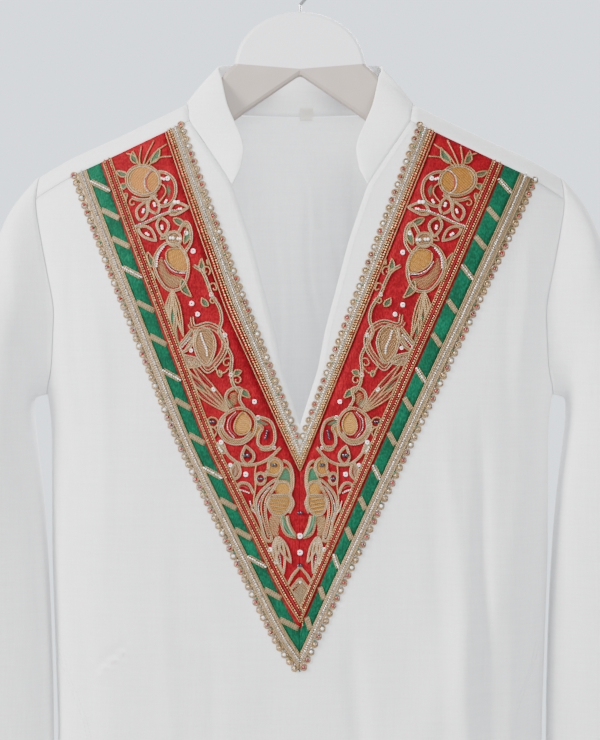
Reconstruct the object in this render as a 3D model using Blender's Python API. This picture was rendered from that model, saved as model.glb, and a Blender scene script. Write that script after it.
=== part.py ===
"""Long-sleeved kurta with a V-shaped embroidered yoke, hanging on a flat hanger.

Metres, +Z up, the front of the garment faces -Y. The origin is the point under
the top of the hook where a rail carries the hanger.
"""
import math

import bpy
import numpy as np

# Cloth
CLOTH = 0.0015
SEAM_GAP = 0.0004
COLLAR_CLOTH = 0.002
HEM_Z = -1.12
SLIT_TOP_Z = -0.72
SLIT_SPREAD = 0.010

# Shoulder ridge: height of the garment's top line by distance from the centre
RIDGE_X = (0.0, 0.060, 0.0945, 0.1526, 0.192, 0.2185, 0.240)
RIDGE_Z = (-0.086, -0.103, -0.121, -0.149, -0.1666, -0.182, -0.197)

# Body: the side line's half width and the half depth by height
SIDE_Z = (-1.12, -0.90, -0.75, -0.64, -0.50, -0.39, -0.365, -0.344, -0.293, -0.226, -0.18)
SIDE_X = (0.228, 0.213, 0.204, 0.201, 0.2045, 0.206, 0.2115, 0.217, 0.219, 0.233, 0.238)
DEPTH_Z = (-1.12, -0.60, -0.12)
DEPTH_Y = (0.058, 0.051, 0.050)
FALL = 0.20
FALL_POWER = 3.0
SIDE_POWER = 6.0

# Armhole seam: distance from the centre by height
ARM_Z = (-0.365, -0.344, -0.2928, -0.2261, -0.2061, -0.182)
ARM_X = (0.2115, 0.2050, 0.2022, 0.2160, 0.2200, 0.2185)
ARM_TOP = -0.182
ARM_BOTTOM = -0.365
ARM_STRIP_STEPS = 3
ARM_STEPS = 8
SLEEVE_GAP = 0.0009
SIDE_SEAM_REACH = 0.02

# Forward shoulder seam and neck
SEAM_DROP = 0.019
NECK_SIDE_X = 0.0915
NECK_RIDGE_X = 0.0945
NECK_BACK_Z = -0.127
# Neckline and slit edge: share of the way down, distance from the centre, height
SLIT_T = (0.0, 0.22, 0.405, 0.565, 0.692, 0.8216, 1.0)
SLIT_X = (0.0915, 0.0551, 0.0395, 0.0290, 0.0205, 0.0145, 0.0)
SLIT_Z = (-0.1385, -0.1936, -0.2400, -0.2800, -0.3119, -0.3443, -0.3889)
ROWS_T = (0.0, 0.05, 0.11, 0.165, 0.22, 0.29, 0.37, 0.445, 0.52, 0.60, 0.68, 0.76, 0.83, 0.90, 0.95, 1.0)
COLLAR_ROWS = 4
SIDE_ROWS_TO_TIP = 7
ROWS_BELOW_TIP = 12
TIP_LEVEL = -0.60
OUTER_COLUMNS = 11
OUTER_GRADE = 1.7

# Yoke lines: each runs from the shoulder seam to its tip on the centre line.
# Columns: distance at the seam, distance and height at the bend, then low down, and the tip's height.
LINE_SHARE = (0.0, 0.52, 0.90, 1.0)
YOKE_LINES = {
    "lace_in_edge": (0.0965, 0.0458, -0.2795, 0.0097, -0.3751, -0.4010),
    "lace_in_base": (0.1016, 0.0575, -0.2852, 0.0113, -0.3840, -0.4099),
    "braid_in_base": (0.1114, 0.0608, -0.2957, 0.0130, -0.3994, -0.4269),
    "field_mid": (0.1340, 0.0700, -0.3400, 0.0170, -0.4500, -0.4800),
    "braid_out_in": (0.1572, 0.0709, -0.4010, 0.0182, -0.5063, -0.5387),
    "braid_out_out": (0.1613, 0.0753, -0.4010, 0.0150, -0.5225, -0.5468),
    "red_out": (0.1646, 0.0786, -0.4010, 0.0105, -0.5387, -0.5557),
    "green_out": (0.1763, 0.0895, -0.4010, 0.0130, -0.5549, -0.5743),
    "lace_out_base": (0.1835, 0.0972, -0.4010, 0.0194, -0.5630, -0.5889),
    "lace_out_edge": (0.1900, 0.1029, -0.4010, 0.0203, -0.5711, -0.5962),
}
# The right half hangs straighter than the left one and a little wider at the shoulder
RIGHT_SPREAD = 0.04
FRONT_LINES = ("lace_in_edge", "braid_in_base", "braid_out_in", "green_out", "lace_out_edge")
YOKE_LIFT = 0.0006
YOKE_CLOTH = 0.001
STRIP_GAP = 0.0003
SCALLOP = 0.0032
SCALLOP_END = 0.985
SCALLOPS_OUT = 66
SCALLOPS_IN = 42
STRIPE_PITCH = 0.0262
STRIPE_WIDTH = 0.0045
STRIPE_RISE = 0.0006
STRIPE_SKEW_LEFT = 0.010
STRIPE_SKEW_RIGHT = -0.012
STRIPE_OFFSET = 0.55
STRIPE_SLOPE = 1.5
SKEW_FADE = 12
BORDER_BEND = 1.09

# Soft folds: place at the lower end, lean, half width, depth outward, start and full heights
FOLD_LEAN_SHIFT = 0.2
FOLD_ROWS = (
    (0.128, 0.004, 0.020, 0.0085, -0.38, -0.62),
    (0.156, -0.003, 0.012, -0.0055, -0.40, -0.60),
    (0.182, 0.004, 0.012, 0.0050, -0.50, -0.95),
    (0.070, 0.010, 0.026, 0.0060, -0.60, -1.00),
    (0.020, -0.006, 0.022, -0.0060, -0.66, -1.05),
    (-0.045, -0.004, 0.028, 0.0070, -0.64, -1.05),
    (-0.092, 0.006, 0.020, -0.0055, -0.52, -1.00),
    (-0.140, 0.010, 0.024, 0.0065, -0.22, -0.90),
    (-0.180, 0.000, 0.014, -0.0045, -0.36, -0.95),
)
BACK_FOLD_ROWS = (
    (0.150, -0.010, 0.024, 0.0070, -0.28, -0.95),
    (0.100, 0.004, 0.020, -0.0050, -0.34, -0.90),
    (0.040, -0.004, 0.026, 0.0075, -0.24, -0.95),
    (-0.012, 0.000, 0.020, -0.0055, -0.20, -0.90),
    (-0.070, 0.006, 0.026, 0.0070, -0.32, -1.00),
    (-0.125, -0.004, 0.020, -0.0050, -0.30, -0.90),
    (-0.168, 0.006, 0.018, 0.0055, -0.40, -0.95),
)

# Sleeve sections from the armhole to the cuff: outer point, inner point and half depth
SLEEVE_OUT_X = (0.229, 0.239, 0.2485, 0.259, 0.271, 0.288, 0.306, 0.321,
                0.332, 0.337, 0.338, 0.335, 0.331, 0.325, 0.320)
SLEEVE_OUT_Z = (-0.190, -0.203, -0.224, -0.250, -0.277, -0.315, -0.360, -0.410,
                -0.465, -0.520, -0.580, -0.640, -0.700, -0.750, -0.790)
SLEEVE_IN_X = (0.2165, 0.2200, 0.2230, 0.2255, 0.2270, 0.2270, 0.2255, 0.2230,
               0.2205, 0.2190, 0.2178, 0.2145, 0.2110, 0.2090, 0.2085)
SLEEVE_IN_Z = (-0.3655, -0.3665, -0.368, -0.371, -0.376, -0.385, -0.400, -0.428,
               -0.472, -0.526, -0.586, -0.645, -0.705, -0.757, -0.799)
SLEEVE_DEPTH = (0.037, 0.041, 0.044, 0.046, 0.047, 0.047, 0.047, 0.046,
                0.044, 0.042, 0.039, 0.035, 0.031, 0.027, 0.024)
SLEEVE_FORWARD = 0.006

# Collar band: seam and top edge from the front end round to the centre back
COLLAR_GAP = 0.0007
COLLAR_TOP_X = (0.0485, 0.0462, 0.0480, 0.0535, 0.0600, 0.0635, 0.0665, 0.0690, 0.0600, 0.0460, 0.0300, 0.0)
COLLAR_TOP_Y = (-0.0450, -0.0430, -0.0390, -0.0300, -0.0210, -0.0135, -0.0060, 0.0, 0.0240, 0.0360, 0.0410,
                0.0430)
COLLAR_TOP_Z = (-0.1800, -0.1650, -0.1540, -0.1402, -0.1245, -0.1110, -0.0980, -0.0890, -0.0838, -0.0825,
                -0.0820, -0.0815)
COLLAR_HEIGHT_STEPS = 3

# Hanger plate and hook
PLATE = 0.010
PLATE_BEVEL = 0.0032
HEAD_RADIUS = 0.0545
HEAD_STEPS = 9
# Half outline of the plate: underside from the centre out, arm's top stations, then inside the collar
HANGER_UNDER_X = (0.0, 0.0461, 0.0750, 0.110, 0.150)
HANGER_UNDER_Z = (-0.0965, -0.1280, -0.1495, -0.1735, -0.1885)
HANGER_ARM_X = (0.165, 0.1526, 0.130, 0.110, 0.100)
HANGER_NECK_X = (0.0870, 0.0720, 0.0620, 0.0555)
HANGER_NECK_Z = (-0.1235, -0.1070, -0.0935, -0.0878)
TIP_HEIGHT = 0.026
TIP_ROUND = 0.012
TIP_LIFT = 0.004
ARM_TOP_CLEAR = 0.0030
HANGER_TIP_X = 0.196
HEAD_TOP_Z = -0.0433
WIRE = 0.0016
HOOK_RADIUS = 0.0165
HOOK_END = math.radians(205)

# Label
LABEL_SIZE = 0.011
LABEL_X = 0.0056
LABEL_TOP_Z = -0.1188
LABEL_CLEAR = 0.0006
LABEL_THICK = 0.001

COLOURS = {
    "cotton": ((0.80, 0.80, 0.82), 0.85, 0.0),
    "red": ((0.52, 0.012, 0.022), 0.8, 0.0),
    "green": ((0.012, 0.17, 0.08), 0.8, 0.0),
    "gold": ((0.52, 0.38, 0.22), 0.45, 0.6),
    "silver": ((0.55, 0.50, 0.42), 0.45, 0.5),
    "label": ((0.80, 0.76, 0.62), 0.8, 0.0),
    "hanger": ((0.53, 0.48, 0.44), 0.5, 0.0),
    "steel": ((0.35, 0.35, 0.36), 0.25, 1.0),
}


def ramp(value, start, end):
    share = min(max((value - start) / (end - start), 0.0), 1.0)
    return share * share * (3.0 - 2.0 * share)


def ridge_height(x):
    return float(np.interp(abs(x), RIDGE_X, RIDGE_Z))


def side_width(z):
    return float(np.interp(z, SIDE_Z, SIDE_X))


def arm_distance(z):
    return float(np.interp(z, ARM_Z, ARM_X))


def fold_rise(x, z, rows):
    rise = 0.0
    for place, lean, width, depth, start, full in rows:
        centre = place + lean * (z - HEM_Z) / (full - HEM_Z - FOLD_LEAN_SHIFT)
        reach = (x - centre) / width
        rise += depth * ramp(z, start, full) * math.exp(-reach * reach)
    return rise


def body_depth(x, z, rows):
    """Distance of the body's outer surface from the plane through both side seams."""
    drop = max(ridge_height(x) - z, 0.0)
    fall = 1.0 - max(1.0 - drop / FALL, 0.0) ** FALL_POWER
    share = min(abs(x) / side_width(z), 1.0)
    side = math.sqrt(max(1.0 - share ** SIDE_POWER, 0.0))
    depth = float(np.interp(z, DEPTH_Z, DEPTH_Y))
    spread = SLIT_SPREAD * ramp(z, SLIT_TOP_Z, HEM_Z) * (1.0 - side)
    return depth * math.sqrt(fall) * side + fold_rise(x, z, rows) * side + spread + SEAM_GAP / 2


def front_point(x, z):
    return np.array((x, -body_depth(x, z, FOLD_ROWS), z))


def back_point(x, z):
    return np.array((x, body_depth(x, z, BACK_FOLD_ROWS), z))


def front_normal(x, z):
    step = 0.001
    across = front_point(x + step, z) - front_point(x - step, z)
    down = front_point(x, z - step) - front_point(x, z + step)
    normal = np.cross(down, across)
    return normal / np.linalg.norm(normal)


def seam_height(x):
    return ridge_height(x) - SEAM_DROP


def armhole_samples():
    """Heights down the armhole: from the ridge to the shoulder seam, then to the underarm."""
    seam = ARM_TOP - SEAM_DROP
    for _ in range(6):
        seam = seam_height(arm_distance(seam))
    middle = (ARM_TOP + ARM_BOTTOM) / 2
    half = (ARM_TOP - ARM_BOTTOM) / 2
    seam_angle = math.acos((seam - middle) / half)
    angles = [seam_angle * i / ARM_STRIP_STEPS for i in range(ARM_STRIP_STEPS + 1)]
    angles += [seam_angle + (math.pi - seam_angle) * i / ARM_STEPS for i in range(1, ARM_STEPS + 1)]
    return [(angle, middle + half * math.cos(angle)) for angle in angles]


ARMHOLE = armhole_samples()


def material(name):
    colour, roughness, metallic = COLOURS[name]
    made = bpy.data.materials.get(name)
    if made is None:
        made = bpy.data.materials.new(name)
        made.use_nodes = True
        shader = made.node_tree.nodes["Principled BSDF"]
        shader.inputs["Base Color"].default_value = (*colour, 1.0)
        shader.inputs["Roughness"].default_value = roughness
        shader.inputs["Metallic"].default_value = metallic
    return made


def add_solid(name, points, faces, finish, sharp=50):
    mesh = bpy.data.meshes.new(name)
    mesh.from_pydata([tuple(point) for point in points], [], faces)
    mesh.shade_smooth()
    mesh.set_sharp_from_angle(angle=math.radians(sharp))
    mesh.materials.append(material(finish))
    solid = bpy.data.objects.new(name, mesh)
    bpy.context.scene.collection.objects.link(solid)
    return solid


class Sheet:
    """A sheet of cloth: points on its outer side and triangles wound to face outward."""

    def __init__(self):
        self.points = []
        self.index = {}
        self.triangles = []

    def add(self, key, point):
        if key not in self.index:
            self.index[key] = len(self.points)
            self.points.append(np.asarray(point, dtype=float))
        return self.index[key]

    def quad(self, a, b, c, d):
        for corners in ((a, b, c), (a, c, d)):
            if len(set(corners)) == 3:
                self.triangles.append(corners)

    def grid(self, rows, flip=False):
        """Quads between rows of point numbers."""
        for upper, lower in zip(rows, rows[1:]):
            for i in range(len(upper) - 1):
                corners = (upper[i], lower[i], lower[i + 1], upper[i + 1])
                self.quad(*(corners[::-1] if flip else corners))

    def normals(self):
        total = np.zeros((len(self.points), 3))
        for a, b, c in self.triangles:
            pa, pb, pc = self.points[a], self.points[b], self.points[c]
            face = np.cross(pb - pa, pc - pa)
            for corner in (a, b, c):
                total[corner] += face
        return total / np.linalg.norm(total, axis=1)[:, None]

    def body_solid(self, name, side):
        """A front (side -1) or back (side 1) whose side edges stay on their own side of the seam."""
        inner = np.array(self.points) - self.normals() * CLOTH
        for point in inner:
            if point[2] < ARM_BOTTOM + SIDE_SEAM_REACH:
                point[1] = side * max(side * point[1], SEAM_GAP / 2)
        return self.solid(name, "cotton", CLOTH, inner=inner)

    def solid(self, name, finish, thickness, outer=None, inner=None):
        """Close the sheet with a plain inner side and rims round its edges."""
        if outer is None:
            outer = self.points
        if inner is None:
            inner = np.array(self.points) - self.normals() * thickness
        count = len(self.points)
        faces = list(self.triangles)
        faces += [(a + count, c + count, b + count) for a, b, c in self.triangles]
        edges = set()
        for a, b, c in self.triangles:
            edges.update(((a, b), (b, c), (c, a)))
        for a, b in edges:
            if (b, a) not in edges:
                faces.append((b, a, a + count))
                faces.append((b, a + count, b + count))
        faces.sort()
        return add_solid(name, list(outer) + list(inner), faces, finish)


def key_of(x, z):
    return (round(x, 6), round(z, 6))


def line_point(name, share, side, inward=0.0):
    """A point of a yoke line, in the front view, as distance from the centre and height."""
    top_x, mid_x, mid_z, low_x, low_z, tip_z = YOKE_LINES[name]
    if side > 0:
        top_x *= 1.0 + RIGHT_SPREAD * (top_x / YOKE_LINES["lace_out_edge"][0]) ** 3
        slope = top_x / (seam_height(top_x) - tip_z)
        mid_x = (mid_z - tip_z) * slope
        low_x = (low_z - tip_z) * slope
    spots_x = (top_x, mid_x, low_x, 0.0)
    spots_z = (seam_height(top_x), mid_z, low_z, tip_z)
    x = float(np.interp(share, LINE_SHARE, spots_x))
    z = float(np.interp(share, LINE_SHARE, spots_z))
    if inward and share >= 1.0:
        z += inward * 2.0
    elif inward:
        stretch = min(int(np.searchsorted(LINE_SHARE, share, side="right")), 3)
        run = np.array((spots_x[stretch] - spots_x[stretch - 1], spots_z[stretch] - spots_z[stretch - 1]))
        run /= np.linalg.norm(run)
        x, z = max(x + run[1] * inward, 0.0), z - run[0] * inward
    return x, z


def slit_point(share):
    return float(np.interp(share, SLIT_T, SLIT_X)), float(np.interp(share, SLIT_T, SLIT_Z))


def side_rows():
    """Heights down the side seam, from the underarm to the hem."""
    heights = []
    for i in range(1, SIDE_ROWS_TO_TIP + 1):
        heights.append(ARM_BOTTOM + (TIP_LEVEL - ARM_BOTTOM) * i / SIDE_ROWS_TO_TIP)
    for i in range(1, ROWS_BELOW_TIP + 1):
        heights.append(TIP_LEVEL + (HEM_Z - TIP_LEVEL) * i / ROWS_BELOW_TIP)
    return heights


def front():
    sheet = Sheet()
    for side in (-1, 1):
        tip_z = YOKE_LINES["lace_out_edge"][5]
        below = [tip_z + (HEM_Z - tip_z) * i / ROWS_BELOW_TIP for i in range(1, ROWS_BELOW_TIP + 1)]
        inner = [line_point("lace_out_edge", share, side) for share in ROWS_T] + [(0.0, z) for z in below]
        outer = [(arm_distance(z), z) for _, z in ARMHOLE[ARM_STRIP_STEPS:]]
        outer += [(side_width(z), z) for z in side_rows()]

        rows = []
        for share in ROWS_T:
            edge = slit_point(share)
            first = line_point(FRONT_LINES[0], share, side)
            middle = ((edge[0] + first[0]) / 2, (edge[1] + first[1]) / 2)
            spots = [edge, middle] + [line_point(name, share, side) for name in FRONT_LINES]
            rows.append([sheet.add(key_of(side * x, z), front_point(side * x, z)) for x, z in spots])
        sheet.grid(rows, flip=side < 0)

        rows = []
        for (ax, az), (bx, bz) in zip(inner, outer):
            spots = []
            for i in range(OUTER_COLUMNS + 1):
                share = 1.0 - (1.0 - i / OUTER_COLUMNS) ** OUTER_GRADE
                spots.append((ax + (bx - ax) * share, az + (bz - az) * share))
            rows.append([sheet.add(key_of(side * x, z), front_point(side * x, z)) for x, z in spots])
        sheet.grid(rows, flip=side < 0)
    return sheet.body_solid("front", -1)


def back_neck(x):
    """Height of the back neckline by distance from the centre."""
    share = min(abs(x) / NECK_RIDGE_X, 1.0)
    return NECK_BACK_Z + (ridge_height(NECK_RIDGE_X) - NECK_BACK_Z) * share ** 4


def strip_spot(row, x_top, x_low):
    """A spot of the back's strip over the shoulder: row 0 is the ridge, the last row the shoulder seam."""
    level = ARMHOLE[row][1]
    x = x_top + (x_low - x_top) * row / ARM_STRIP_STEPS
    return x, ridge_height(x) - SEAM_DROP * (ARM_TOP - level) / (ARM_TOP - ARMHOLE[ARM_STRIP_STEPS][1])


def back():
    sheet = Sheet()
    tops = [YOKE_LINES[line][0] for line in FRONT_LINES[1:]]
    seam_x = [NECK_SIDE_X, tops[0], (tops[0] + tops[1]) / 2] + tops[1:]
    seam_x.append(arm_distance(ARMHOLE[ARM_STRIP_STEPS][1]))
    stretch = (ARM_X[-1] - NECK_RIDGE_X) / (seam_x[-1] - NECK_SIDE_X)
    shoulder = [NECK_RIDGE_X + (x - NECK_SIDE_X) * stretch for x in seam_x]
    neck = [NECK_RIDGE_X * i / 5 for i in range(5)]
    columns = [-x for x in reversed(shoulder)] + [-x for x in reversed(neck[1:])] + neck + shoulder
    heights = [z for _, z in ARMHOLE] + side_rows()
    rows = []
    for i, level in enumerate(heights):
        share = i / (len(heights) - 1)
        reach = arm_distance(level) if i < len(ARMHOLE) else side_width(level)
        row = []
        for x_top in columns:
            top = ridge_height(x_top) if abs(x_top) >= NECK_RIDGE_X else back_neck(x_top)
            x = x_top * reach / ARM_X[-1]
            z = level + (top - ARM_TOP) * (1.0 - share) ** 2
            if abs(x_top) == shoulder[-1]:
                x = math.copysign(reach, x_top)
                z = level
            point = back_point(x, z)
            if i == 0 and abs(x_top) >= NECK_RIDGE_X:
                point = np.array((x, 0.0, ridge_height(x)))
            row.append(sheet.add(("b", i, round(x_top, 6)), point))
        rows.append(row)
    sheet.grid(rows, flip=True)

    for side in (-1, 1):
        rows = [[sheet.index[("b", 0, round(side * x, 6))] for x in shoulder]]
        for i in range(1, ARM_STRIP_STEPS + 1):
            row = []
            level = ARMHOLE[i][1]
            for j, (x_top, x_low) in enumerate(zip(shoulder, seam_x)):
                x, z = strip_spot(i, x_top, x_low)
                if j == len(shoulder) - 1:
                    x = arm_distance(level)
                    z = level
                if i == ARM_STRIP_STEPS:
                    z += 2 * SEAM_GAP
                row.append(sheet.add(("s", side, i, j), front_point(side * x, z)))
            rows.append(row)
        sheet.grid(rows, flip=side < 0)
    return sheet.body_solid("back", 1)


def armhole_ring():
    """The armhole's loop: round the front from the shoulder to the underarm and back up behind."""
    ring = []
    for angle, z in ARMHOLE:
        point = front_point(arm_distance(z), z)
        ring.append((angle, point))
    ring[0] = (0.0, np.array((ARM_X[-1], 0.0, ARM_TOP)))
    behind = []
    for angle, z in ARMHOLE[1:-1]:
        behind.append((2 * math.pi - angle, back_point(arm_distance(z), z)))
    return ring + behind[::-1]


def sleeve(name, side):
    sheet = Sheet()
    first = armhole_ring()
    angles = [angle for angle, _ in first]
    rows = [[point + np.array((SLEEVE_GAP, 0.0, 0.0)) for _, point in first]]
    sections = zip(SLEEVE_OUT_X, SLEEVE_OUT_Z, SLEEVE_IN_X, SLEEVE_IN_Z, SLEEVE_DEPTH)
    for number, (out_x, out_z, in_x, in_z, depth) in enumerate(sections):
        share = (number + 1) / len(SLEEVE_DEPTH)
        middle = np.array(((out_x + in_x) / 2, 0.0, (out_z + in_z) / 2))
        middle[1] = -SLEEVE_FORWARD * ramp(share, 0.2, 1.0)
        reach = np.array(((out_x - in_x) / 2, 0.0, (out_z - in_z) / 2))
        row = []
        for angle in angles:
            fold = 1.0 + 0.09 * ramp(share, 0.1, 0.6) * math.sin(3.0 * angle + 2.0 + 2.5 * share)
            along = math.cos(angle)
            deep = -math.sin(angle) * depth * fold
            row.append(middle + reach * along + np.array((0.0, deep, 0.0)))
        rows.append(row)
    numbered = []
    mirror = np.array((side, 1.0, 1.0))
    for i, row in enumerate(rows):
        ring = [sheet.add((i, j), point * mirror) for j, point in enumerate(row)]
        numbered.append(ring + ring[:1])
    sheet.grid(numbered, flip=side > 0)
    return sheet.solid(name, "cotton", CLOTH)


def collar_seam():
    """Points of the neckline from the slit's top round to the centre back, raised by the seam gap."""
    seam = []
    for share in reversed(ROWS_T[:COLLAR_ROWS + 1]):
        x, z = slit_point(share)
        seam.append(front_point(x, z))
    for row in (2, 1):
        x, z = strip_spot(row, NECK_RIDGE_X, NECK_SIDE_X)
        seam.append(front_point(x, z))
    seam.append(np.array((NECK_RIDGE_X, 0.0, ridge_height(NECK_RIDGE_X))))
    for i in (4, 3, 2, 0):
        x = NECK_RIDGE_X * i / 5
        seam.append(back_point(x, back_neck(x)))
    return seam


def collar():
    seam = collar_seam()
    top = [np.array(spot) for spot in zip(COLLAR_TOP_X, COLLAR_TOP_Y, COLLAR_TOP_Z)]
    sheet = Sheet()
    half = []
    for low, high in zip(seam, top):
        rise = high - low
        low = low + rise / np.linalg.norm(rise) * COLLAR_GAP
        half.append([low + (high - low) * i / COLLAR_HEIGHT_STEPS for i in range(COLLAR_HEIGHT_STEPS + 1)])
    rows = []
    for side in (-1, 1):
        strips = half if side < 0 else half[-2::-1]
        for strip in strips:
            placed = [point * np.array((side, 1.0, 1.0)) for point in strip]
            rows.append([sheet.add(len(sheet.points), point) for point in placed])
    sheet.grid(rows, flip=True)
    return sheet.solid("collar", "cotton", COLLAR_CLOTH)


def yoke_sheet(name, finish, spots_by_side, lift, thickness, rises=None):
    """A strip on the front between rows of spots, its two halves joined on the centre line."""
    sheet = Sheet()
    outer = []
    inner = []
    for side in (-1, 1):
        rows = []
        for i, spots in enumerate(spots_by_side(side)):
            row = []
            for x, z in spots:
                key = key_of(side * x, z)
                fresh = key not in sheet.index
                point = front_point(side * x, z)
                row.append(sheet.add(key, point))
                if fresh:
                    normal = front_normal(side * x, z)
                    rise = rises[i] if rises else 0.0
                    inner.append(point + normal * lift)
                    outer.append(point + normal * (lift + thickness + rise))
            rows.append(row)
        sheet.grid(rows, flip=side < 0)
    return sheet.solid(name, finish, thickness, outer, inner)


def plain_strip(name, finish, lines, lift, thickness):
    def spots_by_side(side):
        rows = []
        for share in ROWS_T:
            spots = [line_point(line, share, side) for line in lines]
            spots[0] = line_point(lines[0], share, side, -STRIP_GAP)
            spots[-1] = line_point(lines[-1], share, side, STRIP_GAP)
            rows.append(spots)
        return rows

    return yoke_sheet(name, finish, spots_by_side, lift, thickness)


def green_border():
    """The border's outer points rise on the laid stripes, which slant the same way on both halves."""
    run = abs(YOKE_LINES["red_out"][5] - seam_height(YOKE_LINES["red_out"][0])) * BORDER_BEND
    count = int(run / STRIPE_PITCH)
    shares = [0.0]
    rises = [0.0]
    for i in range(count):
        centre = (i + STRIPE_OFFSET) / count
        half = STRIPE_WIDTH / 2 / run
        for offset in (-STRIPE_SLOPE, -1.0, 1.0, STRIPE_SLOPE):
            shares.append(centre + offset * half)
            rises.append(STRIPE_RISE if abs(offset) == 1.0 else 0.0)
    shares.append(1.0)
    rises.append(0.0)

    def spots_by_side(side):
        slant = STRIPE_SKEW_LEFT if side < 0 else STRIPE_SKEW_RIGHT
        rows = []
        for share in shares:
            skew = slant / run * min(1.0, share * SKEW_FADE, (1.0 - share) * SKEW_FADE)
            inner = line_point("red_out", share + skew / 2, side, -STRIP_GAP)
            outer = line_point("green_out", share - skew / 2, side, STRIP_GAP)
            rows.append([inner, outer])
        return rows

    return yoke_sheet("yoke_green", "green", spots_by_side, YOKE_LIFT, YOKE_CLOTH, rises)


def lace(name, base, edge, scallops, outward):
    """Bead lace: a strip whose free edge runs in and out once for each scallop."""
    steps = scallops * 2

    def spots_by_side(side):
        rows = []
        for i in range(steps + 1):
            share = i / steps
            wave = SCALLOP if i % 2 == 0 and 0 < i < steps * SCALLOP_END else 0.0
            fixed = line_point(base, share, side, -STRIP_GAP * outward)
            free = line_point(edge, share, side, wave * outward)
            rows.append([fixed, free] if outward > 0 else [free, fixed])
        return rows

    return yoke_sheet(name, "silver", spots_by_side, YOKE_LIFT, YOKE_CLOTH)


def label():
    x0 = LABEL_X - LABEL_SIZE / 2
    inside = back_point(LABEL_X, NECK_BACK_Z)[1] - COLLAR_CLOTH - LABEL_CLEAR
    low = np.array((x0, inside - LABEL_THICK, LABEL_TOP_Z - LABEL_SIZE))
    high = low + np.array((LABEL_SIZE, LABEL_THICK, LABEL_SIZE))
    corners = []
    for x in (low[0], high[0]):
        for y in (low[1], high[1]):
            corners += [(x, y, low[2]), (x, y, high[2])]
    faces = [(0, 1, 3, 2), (4, 6, 7, 5), (0, 4, 5, 1), (2, 3, 7, 6), (0, 2, 6, 4), (1, 5, 7, 3)]
    return add_solid("label", corners, faces, "label", sharp=20)


def hanger_outline():
    """The plate's edge, from the right arm's underside round the tips and over the head."""
    outline = list(zip(HANGER_UNDER_X, HANGER_UNDER_Z))
    tip_top = ridge_height(HANGER_TIP_X) - ARM_TOP_CLEAR
    middle = tip_top - TIP_HEIGHT / 2
    for angle in (-90, -50, -15, 15, 50, 90):
        turn = math.radians(angle)
        lift = TIP_LIFT * (1 - math.cos(turn)) if angle > 0 else 0.0
        x = HANGER_TIP_X - TIP_ROUND + TIP_ROUND * math.cos(turn)
        outline.append((x, middle + TIP_HEIGHT / 2 * math.sin(turn) + lift))
    outline += [(x, ridge_height(x) - ARM_TOP_CLEAR) for x in HANGER_ARM_X]
    outline += list(zip(HANGER_NECK_X, HANGER_NECK_Z))
    base_z = HANGER_NECK_Z[-1]
    for i in range(1, HEAD_STEPS):
        turn = math.pi / 2 * i / HEAD_STEPS
        outline.append((HEAD_RADIUS * math.cos(turn), base_z + (HEAD_TOP_Z - base_z) * math.sin(turn)))
    outline.append((0.0, HEAD_TOP_Z))
    left = [(-x, z) for x, z in reversed(outline) if x > 0.0]
    return outline + left


def hanger():
    outline = hanger_outline()
    mesh = bpy.data.meshes.new("hanger")
    mesh.from_pydata([(x, 0.0, z) for x, z in outline], [], [tuple(range(len(outline)))])
    solid = bpy.data.objects.new("hanger", mesh)
    bpy.context.scene.collection.objects.link(solid)
    mesh.materials.append(material("hanger"))
    thick = solid.modifiers.new("thickness", "SOLIDIFY")
    thick.thickness = PLATE
    thick.offset = 0.0
    soft = solid.modifiers.new("edges", "BEVEL")
    soft.width = PLATE_BEVEL
    soft.segments = 2
    soft.limit_method = "ANGLE"
    soft.angle_limit = math.radians(50)
    mesh.shade_smooth()
    return solid


def hook():
    """Steel wire: a stem on the head, then a question-mark bend that ends in a rounded tip."""
    centre_z = -(HOOK_RADIUS - WIRE)
    spots = [(0.0, HEAD_TOP_Z + SEAM_GAP), (0.0, HEAD_TOP_Z + 0.006)]
    steps = 20
    for i in range(steps + 1):
        turn = -math.pi / 2 + math.radians(22) + (HOOK_END + math.pi / 2 - math.radians(22)) * i / steps
        spots.append((HOOK_RADIUS * math.cos(turn), centre_z + HOOK_RADIUS * math.sin(turn)))
    curve = bpy.data.curves.new("hook", "CURVE")
    curve.dimensions = "3D"
    curve.resolution_u = 1
    curve.render_resolution_u = 0
    curve.bevel_depth = WIRE
    curve.bevel_resolution = 2
    curve.use_fill_caps = True
    path = curve.splines.new("POLY")
    path.points.add(len(spots) - 1)
    for knot, (x, z) in zip(path.points, spots):
        knot.co = (x, 0.0, z, 1.0)
    path.use_smooth = True
    curve.materials.append(material("steel"))
    solid = bpy.data.objects.new("hook", curve)
    bpy.context.scene.collection.objects.link(solid)
    return solid


def main():
    for old in list(bpy.data.objects):
        bpy.data.objects.remove(old)
    front()
    back()
    sleeve("sleeve_left", -1)
    sleeve("sleeve_right", 1)
    collar()
    label()
    plain_strip("braid_inner", "gold", ("lace_in_base", "braid_in_base"), YOKE_LIFT, YOKE_CLOTH)
    field_lines = ("braid_in_base", "field_mid", "braid_out_in", "red_out")
    plain_strip("yoke_red", "red", field_lines, YOKE_LIFT, YOKE_CLOTH)
    on_red = YOKE_LIFT + YOKE_CLOTH + STRIP_GAP
    plain_strip("braid_outer", "gold", ("braid_out_in", "braid_out_out"), on_red, YOKE_CLOTH)
    green_border()
    lace("lace_outer", "green_out", "lace_out_edge", SCALLOPS_OUT, 1)
    lace("lace_inner", "lace_in_base", "lace_in_edge", SCALLOPS_IN, -1)
    hanger()
    hook()


main()
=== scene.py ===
"""Visual model of the kurta on its hanger: cloth shells, the embroidered yoke, lace, hanger and light.

Metres, +Z up, the front faces -Y. Heights count down from the rail at the origin.
"""
import math

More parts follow.
